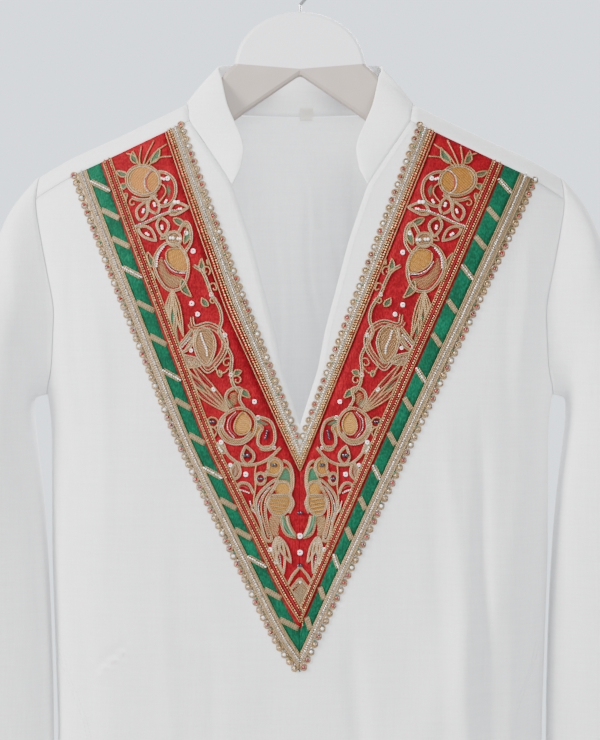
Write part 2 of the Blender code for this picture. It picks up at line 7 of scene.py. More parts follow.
import bpy
import numpy as np
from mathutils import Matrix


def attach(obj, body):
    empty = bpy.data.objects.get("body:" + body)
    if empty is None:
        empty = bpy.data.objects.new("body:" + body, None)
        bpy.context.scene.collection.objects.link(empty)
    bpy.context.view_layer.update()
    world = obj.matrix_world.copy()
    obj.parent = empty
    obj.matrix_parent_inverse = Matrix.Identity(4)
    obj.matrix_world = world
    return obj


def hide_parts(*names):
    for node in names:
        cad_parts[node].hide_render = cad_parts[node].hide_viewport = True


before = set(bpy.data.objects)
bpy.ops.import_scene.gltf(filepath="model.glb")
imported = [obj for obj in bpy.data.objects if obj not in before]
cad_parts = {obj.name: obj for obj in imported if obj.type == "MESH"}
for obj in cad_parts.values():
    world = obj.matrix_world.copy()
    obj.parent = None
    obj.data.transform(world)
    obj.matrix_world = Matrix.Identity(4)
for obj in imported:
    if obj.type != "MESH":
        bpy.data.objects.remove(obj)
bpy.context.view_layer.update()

# Sizes shared with the solids
CLOTH = 0.0008
COLLAR_CLOTH = 0.0018
HEM_Z = -1.12
SLIT_TOP_Z = -0.72
SLIT_SPREAD = 0.01
SEAM_GAP = 0.0004
RIDGE_X = (0.0, 0.06, 0.0945, 0.1526, 0.192, 0.2185, 0.24)
RIDGE_Z = (-0.086, -0.103, -0.121, -0.149, -0.1666, -0.182, -0.197)
SIDE_Z = (-1.12, -0.9, -0.75, -0.64, -0.5, -0.39, -0.365, -0.344, -0.293, -0.226, -0.18)
SIDE_X = (0.228, 0.213, 0.2045, 0.203, 0.208, 0.2085, 0.2115, 0.217, 0.219, 0.233, 0.238)
DEPTH_Z = (-1.12, -0.6, -0.12)
DEPTH_Y = (0.058, 0.051, 0.05)
FALL = 0.2
FALL_POWER = 3.0
SIDE_POWER = 6.0
ARM_Z = (-0.365, -0.344, -0.2928, -0.2261, -0.2061, -0.182)
ARM_X = (0.2115, 0.205, 0.2022, 0.216, 0.22, 0.2185)
ARM_TOP = -0.182
ARM_BOTTOM = -0.365
SEAM_DROP = 0.019
NECK_SIDE_X = 0.0915
NECK_RIDGE_X = 0.0945
NECK_BACK_Z = -0.127
SLIT_X = (0.0915, 0.0551, 0.0395, 0.029, 0.0205, 0.0145, 0.0)
SLIT_Z = (-0.1385, -0.1936, -0.24, -0.28, -0.3119, -0.3443, -0.3889)

# Yoke lines from the shoulder seam to the tip on the centre line, as in the solids
LINE_SHARE = (0.0, 0.52, 0.9, 1.0)
YOKE_LINES = {
    "lace_in_edge": (0.0965, 0.0458, -0.2795, 0.0097, -0.3751, -0.401),
    "lace_in_base": (0.1016, 0.0575, -0.2852, 0.0113, -0.384, -0.4099),
    "braid_in_base": (0.1114, 0.0608, -0.2957, 0.013, -0.3994, -0.4269),
    "braid_out_in": (0.1572, 0.0709, -0.401, 0.0182, -0.5063, -0.5387),
    "braid_out_out": (0.1613, 0.0753, -0.401, 0.015, -0.5225, -0.5468),
    "red_out": (0.1646, 0.0786, -0.401, 0.0105, -0.5387, -0.5557),
    "green_out": (0.1763, 0.0895, -0.401, 0.013, -0.5549, -0.5743),
    "lace_out_edge": (0.19, 0.1029, -0.401, 0.0203, -0.5711, -0.5962),
}
RIGHT_SPREAD = 0.04
YOKE_TOP_X = 0.19
YOKE_TOP_Z = -0.184
YOKE_TIP_Z = -0.605

# Wandering wrinkles all over the body
WRINKLE_HIGH = 0.0007
WRINKLE_WIDE = 0.016

# Soft folds: place at the lower end, lean, half width, depth outward, start and full heights
FOLD_ROWS = (
    (0.132, 0.004, 0.02, 0.0085, -0.36, -0.62),
    (0.154, -0.003, 0.008, -0.0075, -0.36, -0.56),
    (0.17, 0.002, 0.009, 0.0045, -0.38, -0.62),
    (0.188, 0.002, 0.009, -0.005, -0.4, -0.66),
    (0.07, 0.01, 0.026, 0.006, -0.6, -1.00),
    (0.02, -0.006, 0.022, -0.006, -0.66, -1.05),
    (-0.045, -0.004, 0.028, 0.007, -0.64, -1.05),
    (-0.092, 0.006, 0.02, -0.0055, -0.52, -1.00),
    (-0.14, 0.01, 0.024, 0.0065, -0.22, -0.9),
    (-0.18, 0.000, 0.014, -0.0045, -0.36, -0.95),
)
BACK_FOLD_ROWS = (
    (0.15, -0.01, 0.024, 0.007, -0.28, -0.95),
    (0.1, 0.004, 0.02, -0.005, -0.34, -0.9),
    (0.04, -0.004, 0.026, 0.0075, -0.24, -0.95),
    (-0.012, 0.000, 0.02, -0.0055, -0.2, -0.9),
    (-0.07, 0.006, 0.026, 0.007, -0.32, -1.00),
    (-0.125, -0.004, 0.02, -0.005, -0.3, -0.9),
    (-0.168, 0.006, 0.018, 0.0055, -0.4, -0.95),
)
# Pocket mouths: distance from the centre and height, down a shallow curve
POCKET_LEFT = ((0.1985, -0.566), (0.1925, -0.59), (0.183, -0.612), (0.174, -0.634), (0.169, -0.66),
               (0.168, -0.69))
POCKET_RIGHT = ((0.196, -0.566), (0.19, -0.588), (0.182, -0.606), (0.174, -0.626), (0.17, -0.655),
                (0.169, -0.69))
# Fine creases, straight soft troughs: start and end on the panel, half width, depth outward
FRONT_CREASES = (
    ((-0.1385, -0.565), (-0.168, -0.592), 0.0028, -0.0026),
    ((-0.14, -0.57), (-0.166, -0.597), 0.003, 0.002),
    ((-0.19, -0.42), (-0.172, -0.64), 0.009, -0.0022),
    ((0.045, -0.545), (0.047, -0.76), 0.007, -0.0034),
    ((0.178, -0.574), (0.192, -0.596), 0.003, -0.0014),
    ((0.18, -0.4), (0.196, -0.445), 0.005, -0.0016),
    ((-0.196, -0.4), (-0.178, -0.455), 0.005, -0.0018),
    ((-0.19, -0.23), (-0.178, -0.42), 0.006, -0.0016),
    ((-0.165, -0.235), (-0.158, -0.52), 0.007, 0.0014),
    ((0.172, -0.24), (0.168, -0.48), 0.007, -0.0013),
    ((0.188, -0.22), (0.18, -0.36), 0.006, 0.0016),
    ((0.12, -0.395), (0.135, -0.64), 0.006, 0.0022),
    ((0.11, -0.43), (0.118, -0.7), 0.006, -0.0016),
    ((0.146, -0.4), (0.15, -0.56), 0.005, -0.0024),
    ((-0.075, -0.55), (-0.066, -0.72), 0.006, -0.0013),
    ((-0.11, -0.47), (-0.106, -0.7), 0.007, 0.0012),
    ((0.05, -0.62), (0.058, -0.82), 0.006, -0.0015),
    ((-0.01, -0.64), (-0.016, -0.9), 0.007, 0.0013),
    ((-0.06, -0.82), (-0.07, -1.08), 0.006, -0.0018),
    ((0.1, -0.76), (0.11, -1.05), 0.006, 0.0016),
    ((-0.04, -0.17), (-0.06, -0.2), 0.004, 0.0004),
)
BACK_CREASES = (
    ((0.005, -0.17), (0.016, -0.31), 0.0055, 0.0052),
    ((0.02, -0.18), (0.03, -0.28), 0.0045, -0.0036),
    ((-0.02, -0.19), (-0.012, -0.38), 0.006, -0.0042),
    ((-0.045, -0.15), (-0.03, -0.33), 0.007, 0.0036),
    ((0.05, -0.15), (0.04, -0.34), 0.007, 0.0036),
    ((0.000, -0.215), (0.03, -0.23), 0.003, 0.0016),
    ((-0.12, -0.25), (-0.11, -0.6), 0.006, -0.002),
    ((0.12, -0.24), (0.115, -0.56), 0.006, 0.002),
    ((0.08, -0.42), (0.088, -0.8), 0.006, -0.002),
    ((-0.06, -0.48), (-0.07, -0.9), 0.006, 0.0018),
    ((0.01, -0.6), (0.004, -1.000), 0.006, -0.0018),
    ((-0.16, -0.4), (-0.17, -0.52), 0.005, 0.0018),
    ((0.165, -0.4), (0.178, -0.5), 0.005, 0.0016),
)
SLEEVE_OUT_X = (0.229, 0.239, 0.2485, 0.259, 0.271, 0.288, 0.306, 0.321, 0.332, 0.337, 0.338, 0.335, 0.331,
                0.325, 0.32)
SLEEVE_OUT_Z = (-0.19, -0.203, -0.224, -0.25, -0.277, -0.315, -0.36, -0.41, -0.465, -0.52, -0.58,
                -0.64, -0.7, -0.75, -0.79)
SLEEVE_IN_X = (0.2165, 0.22, 0.2228, 0.2248, 0.2258, 0.2255, 0.2235, 0.219, 0.214, 0.2108, 0.2082,
               0.2068, 0.2072, 0.2082, 0.2097)
SLEEVE_IN_Z = (-0.3655, -0.3665, -0.368, -0.371, -0.376, -0.385, -0.4, -0.428, -0.472, -0.526, -0.586,
               -0.645, -0.705, -0.757, -0.799)
SLEEVE_DEPTH = (0.037, 0.041, 0.044, 0.046, 0.047, 0.047, 0.047, 0.046, 0.044, 0.042, 0.039, 0.035, 0.031,
                0.027, 0.024)
SLEEVE_FORWARD = 0.006
SLEEVE_GAP = 0.0009
COLLAR_GAP = 0.0007
LABEL_SIZE = 0.011
LABEL_X = 0.0056
LABEL_TOP_Z = -0.1188
LABEL_CLEAR = 0.0012
COLLAR_SEAM_Z = (-0.1936, -0.1811, -0.1658, -0.1509, -0.1385)
COLLAR_SEAM_DROPS = (0.0085, 0.0022)
COLLAR_TOP_X = (0.0485, 0.0462, 0.048, 0.0535, 0.06, 0.0635, 0.0665, 0.069, 0.06, 0.046, 0.03, 0.0)
COLLAR_TOP_Y = (-0.045, -0.043, -0.039, -0.03, -0.021, -0.0135, -0.006, 0.0, 0.024, 0.036, 0.041,
                0.043)
COLLAR_TOP_Z = (-0.18, -0.165, -0.154, -0.1402, -0.1245, -0.111, -0.098, -0.089, -0.0838, -0.0825,
                -0.082, -0.0815)


def smooth_table(places, values, soft):
    """A lookup that follows a table with its corners rounded over the distance soft."""
    low, high = min(places), max(places)
    dense = np.linspace(low - 0.1, high + 0.1, 2401)
    order = np.argsort(places)
    px, pv = np.array(places)[order], np.array(values)[order]
    first = (pv[1] - pv[0]) / (px[1] - px[0])
    last = (pv[-1] - pv[-2]) / (px[-1] - px[-2])
    raw = np.interp(dense, px, pv)
    raw = np.where(dense < low, pv[0] + (dense - low) * first, raw)
    raw = np.where(dense > high, pv[-1] + (dense - high) * last, raw)
    step = dense[1] - dense[0]
    reach = max(int(3 * soft / step), 1)
    kernel = np.exp(-0.5 * (np.arange(-reach, reach + 1) * step / soft) ** 2)
    kernel /= kernel.sum()
    padded = np.concatenate((raw[0] - first * step * np.arange(reach, 0, -1), raw,
                             raw[-1] + last * step * np.arange(1, reach + 1)))
    eased = np.convolve(padded, kernel, mode="valid")
    return lambda at: np.interp(at, dense, eased)


side_width = smooth_table(SIDE_Z, SIDE_X, 0.01)
arm_distance = smooth_table(ARM_Z, ARM_X, 0.006)
ridge_table = smooth_table(tuple(-x for x in RIDGE_X[:0:-1]) + RIDGE_X, RIDGE_Z[:0:-1] + RIDGE_Z, 0.006)
slit_width = smooth_table(SLIT_Z[::-1], SLIT_X[::-1], 0.003)


def ridge_height(x):
    return ridge_table(np.abs(x))


def ramp(value, start, end):
    share = np.clip((value - start) / (end - start), 0.0, 1.0)
    return share * share * (3.0 - 2.0 * share)


def noise(x, z, scale, seed):
    """Smooth wandering value in -1..1 from a few crossed waves."""
    u, v = x / scale, z / scale
    total = np.sin(u * 1.7 + 1.3 * np.sin(v * 1.1 + seed) + seed * 2.3)
    total = total + np.sin(v * 1.9 + 1.7 * np.sin(u * 0.9 - seed) + seed * 1.1)
    return 0.5 * total


def crease_rise(x, z, rows):
    rise = np.zeros_like(x)
    for (ax, az), (bx, bz), width, depth in rows:
        dx, dz = bx - ax, bz - az
        along = ((x - ax) * dx + (z - az) * dz) / (dx * dx + dz * dz)
        wander = 0.35 * width * np.sin(along * 7.0 + ax * 90.0)
        off = ((x - ax) * dz - (z - az) * dx) / math.hypot(dx, dz) + wander
        fade = ramp(along, -0.25, 0.35) * ramp(along, 1.25, 0.65)
        rise = rise + depth * fade * np.exp(-(off / width) ** 2)
    return rise


def body_depth(x, z, folds, creases, seed):
    drop = np.maximum(ridge_height(x) - z, 0.0)
    fall = 1.0 - np.maximum(1.0 - drop / FALL, 0.0) ** FALL_POWER
    share = np.minimum(np.abs(x) / side_width(z), 1.0)
    side = np.sqrt(np.maximum(1.0 - share ** SIDE_POWER, 0.0))
    depth = np.interp(z, DEPTH_Z, DEPTH_Y)
    rise = np.zeros_like(x)
    for place, lean, width, high, start, full in folds:
        centre = place + lean * (z - HEM_Z) / (full - HEM_Z - 0.2)
        rise = rise + high * ramp(z, start, full) * np.exp(-((x - centre) / width) ** 2)
    calm = ramp(drop, 0.02, 0.1)
    rise = rise + calm * crease_rise(x, z, creases)
    rise = rise + calm * WRINKLE_HIGH * noise(x, z * 0.35, WRINKLE_WIDE, seed)
    spread = SLIT_SPREAD * ramp(z, SLIT_TOP_Z, HEM_Z) * (1.0 - side)
    return depth * np.sqrt(fall) * side + rise * side + spread + SEAM_GAP / 2


def on_yoke(x, z):
    """1 on the yoke and close to it, 0 well outside."""
    width = YOKE_TOP_X * (z - YOKE_TIP_Z) / (YOKE_TOP_Z - YOKE_TIP_Z)
    return ramp(np.abs(x) - width, 0.035, 0.005)


def front_y(x, z):
    x, z = np.asarray(x, dtype=float), np.asarray(z, dtype=float)
    plain = body_depth(x, z, FOLD_ROWS, (), 1.0)
    creased = body_depth(x, z, FOLD_ROWS, FRONT_CREASES, 1.0)
    share = on_yoke(x, z)
    return -(plain * share + creased * (1.0 - share))


def back_y(x, z):
    return body_depth(np.asarray(x, dtype=float), np.asarray(z, dtype=float), BACK_FOLD_ROWS, BACK_CREASES, 4.0)


def on_front(x, z, lift=0.0):
    """Points on the front's outer side, moved out by lift."""
    x, z = np.asarray(x, dtype=float), np.asarray(z, dtype=float)
    y = front_y(x, z)
    step = 0.0012
    slope_x = (front_y(x + step, z) - front_y(x - step, z)) / (2 * step)
    slope_z = (front_y(x, z + step) - front_y(x, z - step)) / (2 * step)
    normal = np.stack((slope_x, -np.ones_like(x), slope_z), axis=-1)
    normal /= np.linalg.norm(normal, axis=-1, keepdims=True)
    points = np.stack((x, y, z), axis=-1)
    return points + normal * np.asarray(lift)[..., None], normal


def seam_height(x):
    return ridge_height(x) - SEAM_DROP


# Scale of a wave texture whose waves are one metre long
WAVE_SCALE = 0.314


# Meshes
def grid(points, flip=False, closed=False):
    """Flat points and quads of a grid; closed joins the last column to the first."""
    rows, columns = points.shape[:2]
    numbers = np.arange(rows * columns).reshape(rows, columns)
    if closed:
        numbers = np.concatenate((numbers, numbers[:, :1]), axis=1)
    quads = np.stack((numbers[:-1, :-1], numbers[1:, :-1], numbers[1:, 1:], numbers[:-1, 1:]), axis=-1)
    quads = quads.reshape(-1, 4)
    if flip:
        quads = quads[:, ::-1]
    return points.reshape(-1, 3), quads


def joined(parts, weld=False):
    """One set of points and quads from several, with shared points made one where weld is set."""
    points = np.concatenate([p for p, _ in parts])
    shift = np.cumsum([0] + [len(p) for p, _ in parts[:-1]])
    quads = np.concatenate([q + s for (_, q), s in zip(parts, shift)])
    if weld:
        _, first, number = np.unique(np.round(points, 6), axis=0, return_index=True, return_inverse=True)
        points, quads = points[first], number.reshape(-1)[quads]
    return points, quads


def vertex_normals(points, quads):
    corners = points[quads]
    face = np.cross(corners[:, 2] - corners[:, 0], corners[:, 3] - corners[:, 1])
    total = np.zeros_like(points)
    for corner in range(4):
        np.add.at(total, quads[:, corner], face)
    return total / np.maximum(np.linalg.norm(total, axis=1, keepdims=True), 1e-12)


def add_mesh(name, points, quads, finish, spots=None):
    """A smooth mesh object. spots are the points' own texture places, in metres along and round."""
    mesh = bpy.data.meshes.new(name)
    mesh.from_pydata(points.tolist(), [], quads.tolist())
    mesh.shade_smooth()
    if spots is not None:
        layer = mesh.uv_layers.new(name="along")
        order = np.zeros(len(mesh.loops), dtype=np.int32)
        mesh.loops.foreach_get("vertex_index", order)
        layer.data.foreach_set("uv", np.asarray(spots, dtype=np.float32)[order].ravel())
    mesh.materials.append(finish)
    made = bpy.data.objects.new(name, mesh)
    bpy.context.scene.collection.objects.link(made)
    return made


def shell(name, points, quads, thickness, finish, fixed_side=0):
    """Thin cloth: the outer side as given, an inner side and rims round every free edge."""
    normals = vertex_normals(points, quads)
    inner = points - normals * thickness
    if fixed_side:
        low = points[:, 2] < ARM_BOTTOM + 0.02
        inner[low, 1] = fixed_side * np.maximum(fixed_side * inner[low, 1], SEAM_GAP / 2)
    count = len(points)
    starts, ends = quads.ravel(), np.roll(quads, -1, axis=1).ravel()
    free = ~np.isin(starts * count + ends, ends * count + starts)
    a, b = starts[free], ends[free]
    rims = np.stack((b, a, a + count, b + count), axis=1)
    faces = np.concatenate((quads, quads[:, ::-1] + count, rims))
    return add_mesh(name, np.concatenate((points, inner)), faces, finish)


# Materials
class Look:
    """A material in the making."""

    def __init__(self, name):
        self.made = bpy.data.materials.new(name)
        self.made.use_nodes = True
        self.tree = self.made.node_tree
        self.place = self.tree.nodes.new("ShaderNodeTexCoord").outputs["Object"]

    def feed(self, node, inputs):
        """Set a node's inputs to values, or wire other nodes' outputs to them."""
        for word, value in inputs.items():
            if isinstance(value, bpy.types.NodeSocket):
                self.tree.links.new(value, node.inputs[word])
            else:
                node.inputs[word].default_value = value
        return node

    def noise(self, scale, detail=2.0, stretch=(1.0, 1.0, 1.0)):
        """A noise texture with its own scale along each axis, in metres of the object."""
        shift = self.feed(self.tree.nodes.new("ShaderNodeMapping"), {"Scale": stretch, "Vector": self.place})
        made = self.tree.nodes.new("ShaderNodeTexNoise")
        return self.feed(made, {"Scale": scale, "Detail": detail, "Vector": shift.outputs["Vector"]}).outputs["Fac"]

    def wave(self, direction, pitch, place, inputs):
        made = self.tree.nodes.new("ShaderNodeTexWave")
        made.bands_direction = direction
        return self.feed(made, {"Scale": WAVE_SCALE / pitch, "Vector": place, **inputs}).outputs["Fac"]

    def maths(self, operation, *values):
        made = self.tree.nodes.new("ShaderNodeMath")
        made.operation = operation
        return self.feed(made, dict(enumerate(values))).outputs[0]

    def line(self, value, factor, plus):
        return self.maths("MULTIPLY_ADD", value, factor, plus)

    def blend(self, share, first, second):
        """A colour between two colours or other nodes' outputs."""
        made = self.tree.nodes.new("ShaderNodeMix")
        made.data_type = "RGBA"
        first, second = ((*one, 1.0) if isinstance(one, tuple) else one for one in (first, second))
        return self.feed(made, {"Factor": share, 6: first, 7: second}).outputs[2]

    def weave(self, pitch):
        """Crossed threads of a plain weave, 0..1, with the given pitch in metres."""
        uneven = {"Distortion": 1.2, "Detail Scale": 1.5}
        return self.maths("MULTIPLY", *(self.wave(axis, pitch, self.place, uneven) for axis in "XZ"))

    def shade(self, inputs, height=None, distance=0.0, strength=1.0):
        """Set the shader's inputs, bumped by height, and give the material back."""
        shader = self.feed(self.tree.nodes["Principled BSDF"], inputs)
        if height is not None:
            bump = self.feed(self.tree.nodes.new("ShaderNodeBump"),
                             {"Strength": strength, "Distance": distance, "Height": height})
            self.feed(shader, {"Normal": bump.outputs["Normal"]})
        return self.made


def cotton_finish(name="cotton_slub", tint=(0.83, 0.83, 0.84)):
    look = Look(name)
    upright, level = look.noise(90.0, 4.0, (6.0, 6.0, 0.35)), look.noise(90.0, 4.0, (0.35, 0.35, 6.0))
    slub = look.maths("ADD", upright, level)
    dark = tuple(value * 0.93 for value in tint)
    light = tuple(min(value * 1.04, 0.88) for value in tint)
    colour = look.blend(look.line(slub, 1.6, -1.1), dark, light)
    soft = look.blend(look.line(look.noise(14.0, 3.0), 0.3, -0.05), colour, tint)
    fine = look.maths("MULTIPLY", look.weave(0.0007), 0.5)
    height = look.maths("ADD", look.maths("MULTIPLY", slub, 1.2), fine)
    return look.shade({
        "Base Color": soft, "Roughness": 0.82, "Sheen Weight": 0.25, "Sheen Roughness": 0.5,
        "Specular IOR Level": 0.25, "Subsurface Weight": 0.55, "Subsurface Radius": (1.0, 1.0, 1.0),
        "Subsurface Scale": 0.004}, height, 0.0003, 0.55)


def felt_finish(name, dark, light):
    """Raw silk: short soft hairs, fine weave and blotches of shade."""
    look = Look(name)
    hair = look.noise(900.0, 3.0, (1.0, 1.0, 0.5))
    share = look.maths("ADD", look.line(hair, 1.5, -0.55), look.line(look.noise(60.0, 3.0), 0.8, -0.4))
    height = look.maths("ADD", hair, look.maths("MULTIPLY", look.weave(0.0006), 0.6))
    return look.shade({
        "Base Color": look.blend(share, dark, light), "Roughness": 0.8, "Sheen Weight": 0.08,
        "Sheen Tint": (*light, 1.0), "Specular IOR Level": 0.12}, height, 0.00035, 0.7)


def thread_finish(name, dark, light, twist=0.0009, metallic=0.5, roughness=0.4):
    """Metal thread: a twisted strand pattern along the cord, from the texture places of each tube, that bumps the
    cord and paints shade between the twists, highlight on them and glints.
    """
    look = Look(name)
    along = look.tree.nodes.new("ShaderNodeUVMap")
    along.uv_map = "along"
    strand_relief_and_shade = look.wave("DIAGONAL", twist, along.outputs["UV"], {})
    glint = look.noise(1400.0)
    # Colour: painted shade in the grooves between the twists, painted highlight on their crowns, and painted glints
    # from the noise
    share = look.maths("ADD", look.maths("MULTIPLY", strand_relief_and_shade, 0.7), look.line(glint, 1.4, -0.5))
    return look.shade({"Base Color": look.blend(share, dark, light), "Metallic": metallic, "Roughness": roughness},
                      look.maths("ADD", strand_relief_and_shade, glint), 0.00035, 0.8)


def bead_finish(name, dark, light, metallic, roughness, coat=0.0):
    look = Look(name)
    glint = look.noise(700.0, 1.0)
    return look.shade({
        "Base Color": look.blend(look.line(glint, 3.0, -1.0), dark, light), "Metallic": metallic,
        "Roughness": roughness, "Coat Weight": coat}, glint, 0.0001, 0.4)


def hanger_finish():
    """Smooth plastic: a pale grey head above the arms' beige, with faint moulding marks."""
    look = Look("hanger_plastic")
    apart = look.feed(look.tree.nodes.new("ShaderNodeSeparateXYZ"), {0: look.place})
    edge = look.line(look.maths("ABSOLUTE", apart.outputs["X"]), 0.08, -0.0919)
    head = look.maths("MULTIPLY", look.maths("SUBTRACT", apart.outputs["Z"], edge), 2500.0)
    head_share = look.maths("MINIMUM", look.maths("MAXIMUM", head, 0.0), 1.0)
    mottle = look.noise(45.0, 3.0)
    arms = look.blend(mottle, (0.3, 0.245, 0.21), (0.36, 0.3, 0.26))
    pale = look.blend(mottle, (0.66, 0.66, 0.69), (0.7, 0.7, 0.73))
    return look.shade({"Base Color": look.blend(head_share, arms, pale), "Roughness": 0.45},
                      look.noise(500.0), 0.0002, 0.15)


def steel_finish():
    look = Look("hook_steel")
    drawn = look.noise(600.0, 3.0)
    colour = look.blend(drawn, (0.42, 0.42, 0.43), (0.62, 0.62, 0.63))
    return look.shade({"Base Color": colour, "Metallic": 1.0, "Roughness": 0.24}, drawn, 0.0001, 0.3)


COTTON = cotton_finish()
RED = felt_finish("red_raw_silk", (0.12, 0.001, 0.004), (0.39, 0.003, 0.014))
GREEN = felt_finish("green_raw_silk", (0.001, 0.04, 0.02), (0.005, 0.145, 0.07))
# Thread colours run from the dark end, painted shade between the twists, to the light end, the thread's colour with
# painted highlight
GOLD = thread_finish("gold_cord_twist", (0.045, 0.024, 0.009), (0.46, 0.29, 0.125))
PALE_GOLD = thread_finish("pale_gold_cord", (0.06, 0.04, 0.021), (0.5, 0.37, 0.225))
OCHRE = thread_finish("ochre_stitch", (0.16, 0.065, 0.006), (0.6, 0.31, 0.04), 0.0008, 0.2, 0.5)
LEAF = thread_finish("green_stitch", (0.001, 0.05, 0.022), (0.004, 0.21, 0.095), 0.0008, 0.0, 0.6)
DEEP_RED = thread_finish("dark_red_stitch", (0.08, 0.001, 0.002), (0.32, 0.003, 0.01), 0.0008, 0.0, 0.6)
SILVER = bead_finish("silver_bead", (0.2, 0.19, 0.16), (0.92, 0.9, 0.85), 0.45, 0.2)
GOLD_BEAD = bead_finish("gold_bead", (0.16, 0.085, 0.03), (0.74, 0.5, 0.22), 0.45, 0.25)
RED_BEAD = bead_finish("red_bead", (0.1, 0.002, 0.003), (0.42, 0.012, 0.012), 0.2, 0.2, 0.6)
STONE = bead_finish("white_stone", (0.62, 0.62, 0.6), (0.92, 0.92, 0.9), 0.0, 0.12, 0.8)
TAPE = cotton_finish("label_tape", (0.8, 0.76, 0.64))
DARK = bead_finish("dark_stone", (0.004, 0.004, 0.01), (0.02, 0.02, 0.034), 0.0, 0.2, 0.3)
HANGER = hanger_finish()
STEEL = steel_finish()

# Grid sizes of the shells
FRONT_COLUMNS = 66
BODY_ROWS = 200
RIDGE_ROWS = 16
RIDGE_DROP = 0.03
STRIP_ROWS = 8
SLEEVE_RING = 84
SLEEVE_ROWS = 190
COLLAR_STATIONS = 90
BAND_STATIONS = 190


def seam_corner():
    z = ARM_TOP - SEAM_DROP
    for _ in range(8):
        z = float(seam_height(float(arm_distance(z))))
    return float(arm_distance(z)), z


CORNER_X, CORNER_Z = seam_corner()


def outer_edge(z):
    """Distance of the body's free edge from the centre: the armhole, then the side seam."""
    share = ramp(z, ARM_BOTTOM + 0.012, ARM_BOTTOM)
    return arm_distance(z) * (1.0 - share) + side_width(z) * share


def front_cloth():
    parts = []
    tall = np.linspace(0.0, 1.0, BODY_ROWS)
    inner_z = SLIT_Z[0] + (HEM_Z - SLIT_Z[0]) * tall
    inner_x = np.where(inner_z > SLIT_Z[-1], np.maximum(slit_width(inner_z), 0.0), 0.0)
    outer_z = CORNER_Z + (HEM_Z - CORNER_Z) * tall
    outer_x = outer_edge(outer_z)
    inner_x[0], outer_x[0] = NECK_SIDE_X, CORNER_X
    across = 1.0 - (1.0 - np.linspace(0.0, 1.0, FRONT_COLUMNS)) ** 2.0
    x = inner_x[:, None] + (outer_x - inner_x)[:, None] * across
    z = inner_z[:, None] + (outer_z - inner_z)[:, None] * across
    top = seam_height(x[0]) - z[0]
    z = z + top[None, :] * np.maximum(1.0 - tall / 0.12, 0.0)[:, None] ** 2
    for side in (-1, 1):
        points = np.stack((side * x, front_y(side * x, z), z), axis=-1)
        points[:, -1, 1] = np.minimum(points[:, -1, 1], -SEAM_GAP / 2)
        parts.append(grid(points, flip=side < 0))
    points, quads = joined(parts, weld=True)
    return shell("front_panel", points, quads, CLOTH, COTTON, -1)


def back_neck(x):
    share = np.minimum(np.abs(x) / NECK_RIDGE_X, 1.0)
    edge = float(ridge_height(NECK_RIDGE_X))
    return NECK_BACK_Z + (edge - NECK_BACK_Z) * share ** 4


def back_cloth():
    shoulder = NECK_RIDGE_X + (ARM_X[-1] - NECK_RIDGE_X) * (1.0 - (1.0 - np.linspace(0.0, 1.0, 40)) ** 1.8)
    neck = np.linspace(0.0, NECK_RIDGE_X, 34)[:-1]
    half = np.concatenate((neck, shoulder))
    columns = np.concatenate((-half[:0:-1], half))
    near = RIDGE_DROP * np.linspace(0.0, 1.0, RIDGE_ROWS) ** 2.2
    far = np.linspace(RIDGE_DROP, ARM_TOP - HEM_Z, BODY_ROWS)[1:]
    drop = np.concatenate((near, far))
    level = ARM_TOP - drop
    share = drop / drop[-1]
    top = np.where(np.abs(columns) >= NECK_RIDGE_X, ridge_height(columns), back_neck(columns))
    x = columns[None, :] * (outer_edge(level) / outer_edge(ARM_TOP))[:, None]
    z = level[:, None] + (top - ARM_TOP)[None, :] * ((1.0 - share) ** 2)[:, None]
    y = back_y(x, z)
    y[0] = np.where(np.abs(columns) >= NECK_RIDGE_X - 1e-9, 0.0, y[0])
    z[0] = np.where(np.abs(columns) >= NECK_RIDGE_X - 1e-9, ridge_height(x[0]), z[0])
    y[RIDGE_ROWS:, 0] = np.maximum(y[RIDGE_ROWS:, 0], SEAM_GAP / 2)
    y[RIDGE_ROWS:, -1] = np.maximum(y[RIDGE_ROWS:, -1], SEAM_GAP / 2)
    parts = [grid(np.stack((x, y, z), axis=-1), flip=True)]
    ridge_row = x[0][np.abs(columns) >= NECK_RIDGE_X - 1e-9]
    ridge_x = ridge_row[len(ridge_row) // 2:]
    across = (shoulder - NECK_RIDGE_X) / (shoulder[-1] - NECK_RIDGE_X)
    down = (np.linspace(0.0, 1.0, STRIP_ROWS) ** 2)[:, None]
    rim = NECK_RIDGE_X + (NECK_SIDE_X - NECK_RIDGE_X) * down
    arm = arm_distance(ARM_TOP + (CORNER_Z - ARM_TOP) * down)
    x = rim + (arm - rim) * across[None, :]
    x[0] = ridge_x
    z = ridge_height(x) - (SEAM_DROP - 2 * SEAM_GAP) * down
    for side in (-1, 1):
        y = front_y(side * x, z)
        y[0] = 0.0
        parts.append(grid(np.stack((side * x, y, z), axis=-1), flip=side < 0))
    points, quads = joined(parts, weld=True)
    return shell("back_panel", points, quads, CLOTH, COTTON, 1)


def sleeve_table(values):
    return smooth_table(tuple(float(i) for i in range(1, len(values) + 1)), values, 0.55)


OUT_X, OUT_Z = sleeve_table(SLEEVE_OUT_X), sleeve_table(SLEEVE_OUT_Z)
IN_X, IN_Z = sleeve_table(SLEEVE_IN_X), sleeve_table(SLEEVE_IN_Z)
SLEEVE_HALF = sleeve_table(SLEEVE_DEPTH)
# Soft folds of the sleeves: angle round, turn along the length, sharpness, height, start and end section
SLEEVE_FOLDS = (
    (0.55, 0.1, 9.0, 0.0022, 1.0, 9.0),
    (1.35, -0.12, 12.0, -0.002, 1.5, 8.0),
    (2.05, 0.08, 14.0, 0.0018, 3.0, 12.0),
    (0.95, 0.05, 16.0, 0.0016, 7.0, 15.5),
    (1.75, -0.04, 14.0, -0.0017, 8.0, 15.5),
    (3.6, 0.06, 12.0, 0.0018, 3.0, 13.0),
    (4.4, -0.05, 12.0, -0.0019, 1.5, 11.0),
    (5.1, 0.08, 14.0, 0.002, 4.0, 15.5),
    (5.8, -0.06, 14.0, -0.0015, 6.0, 15.5),
)


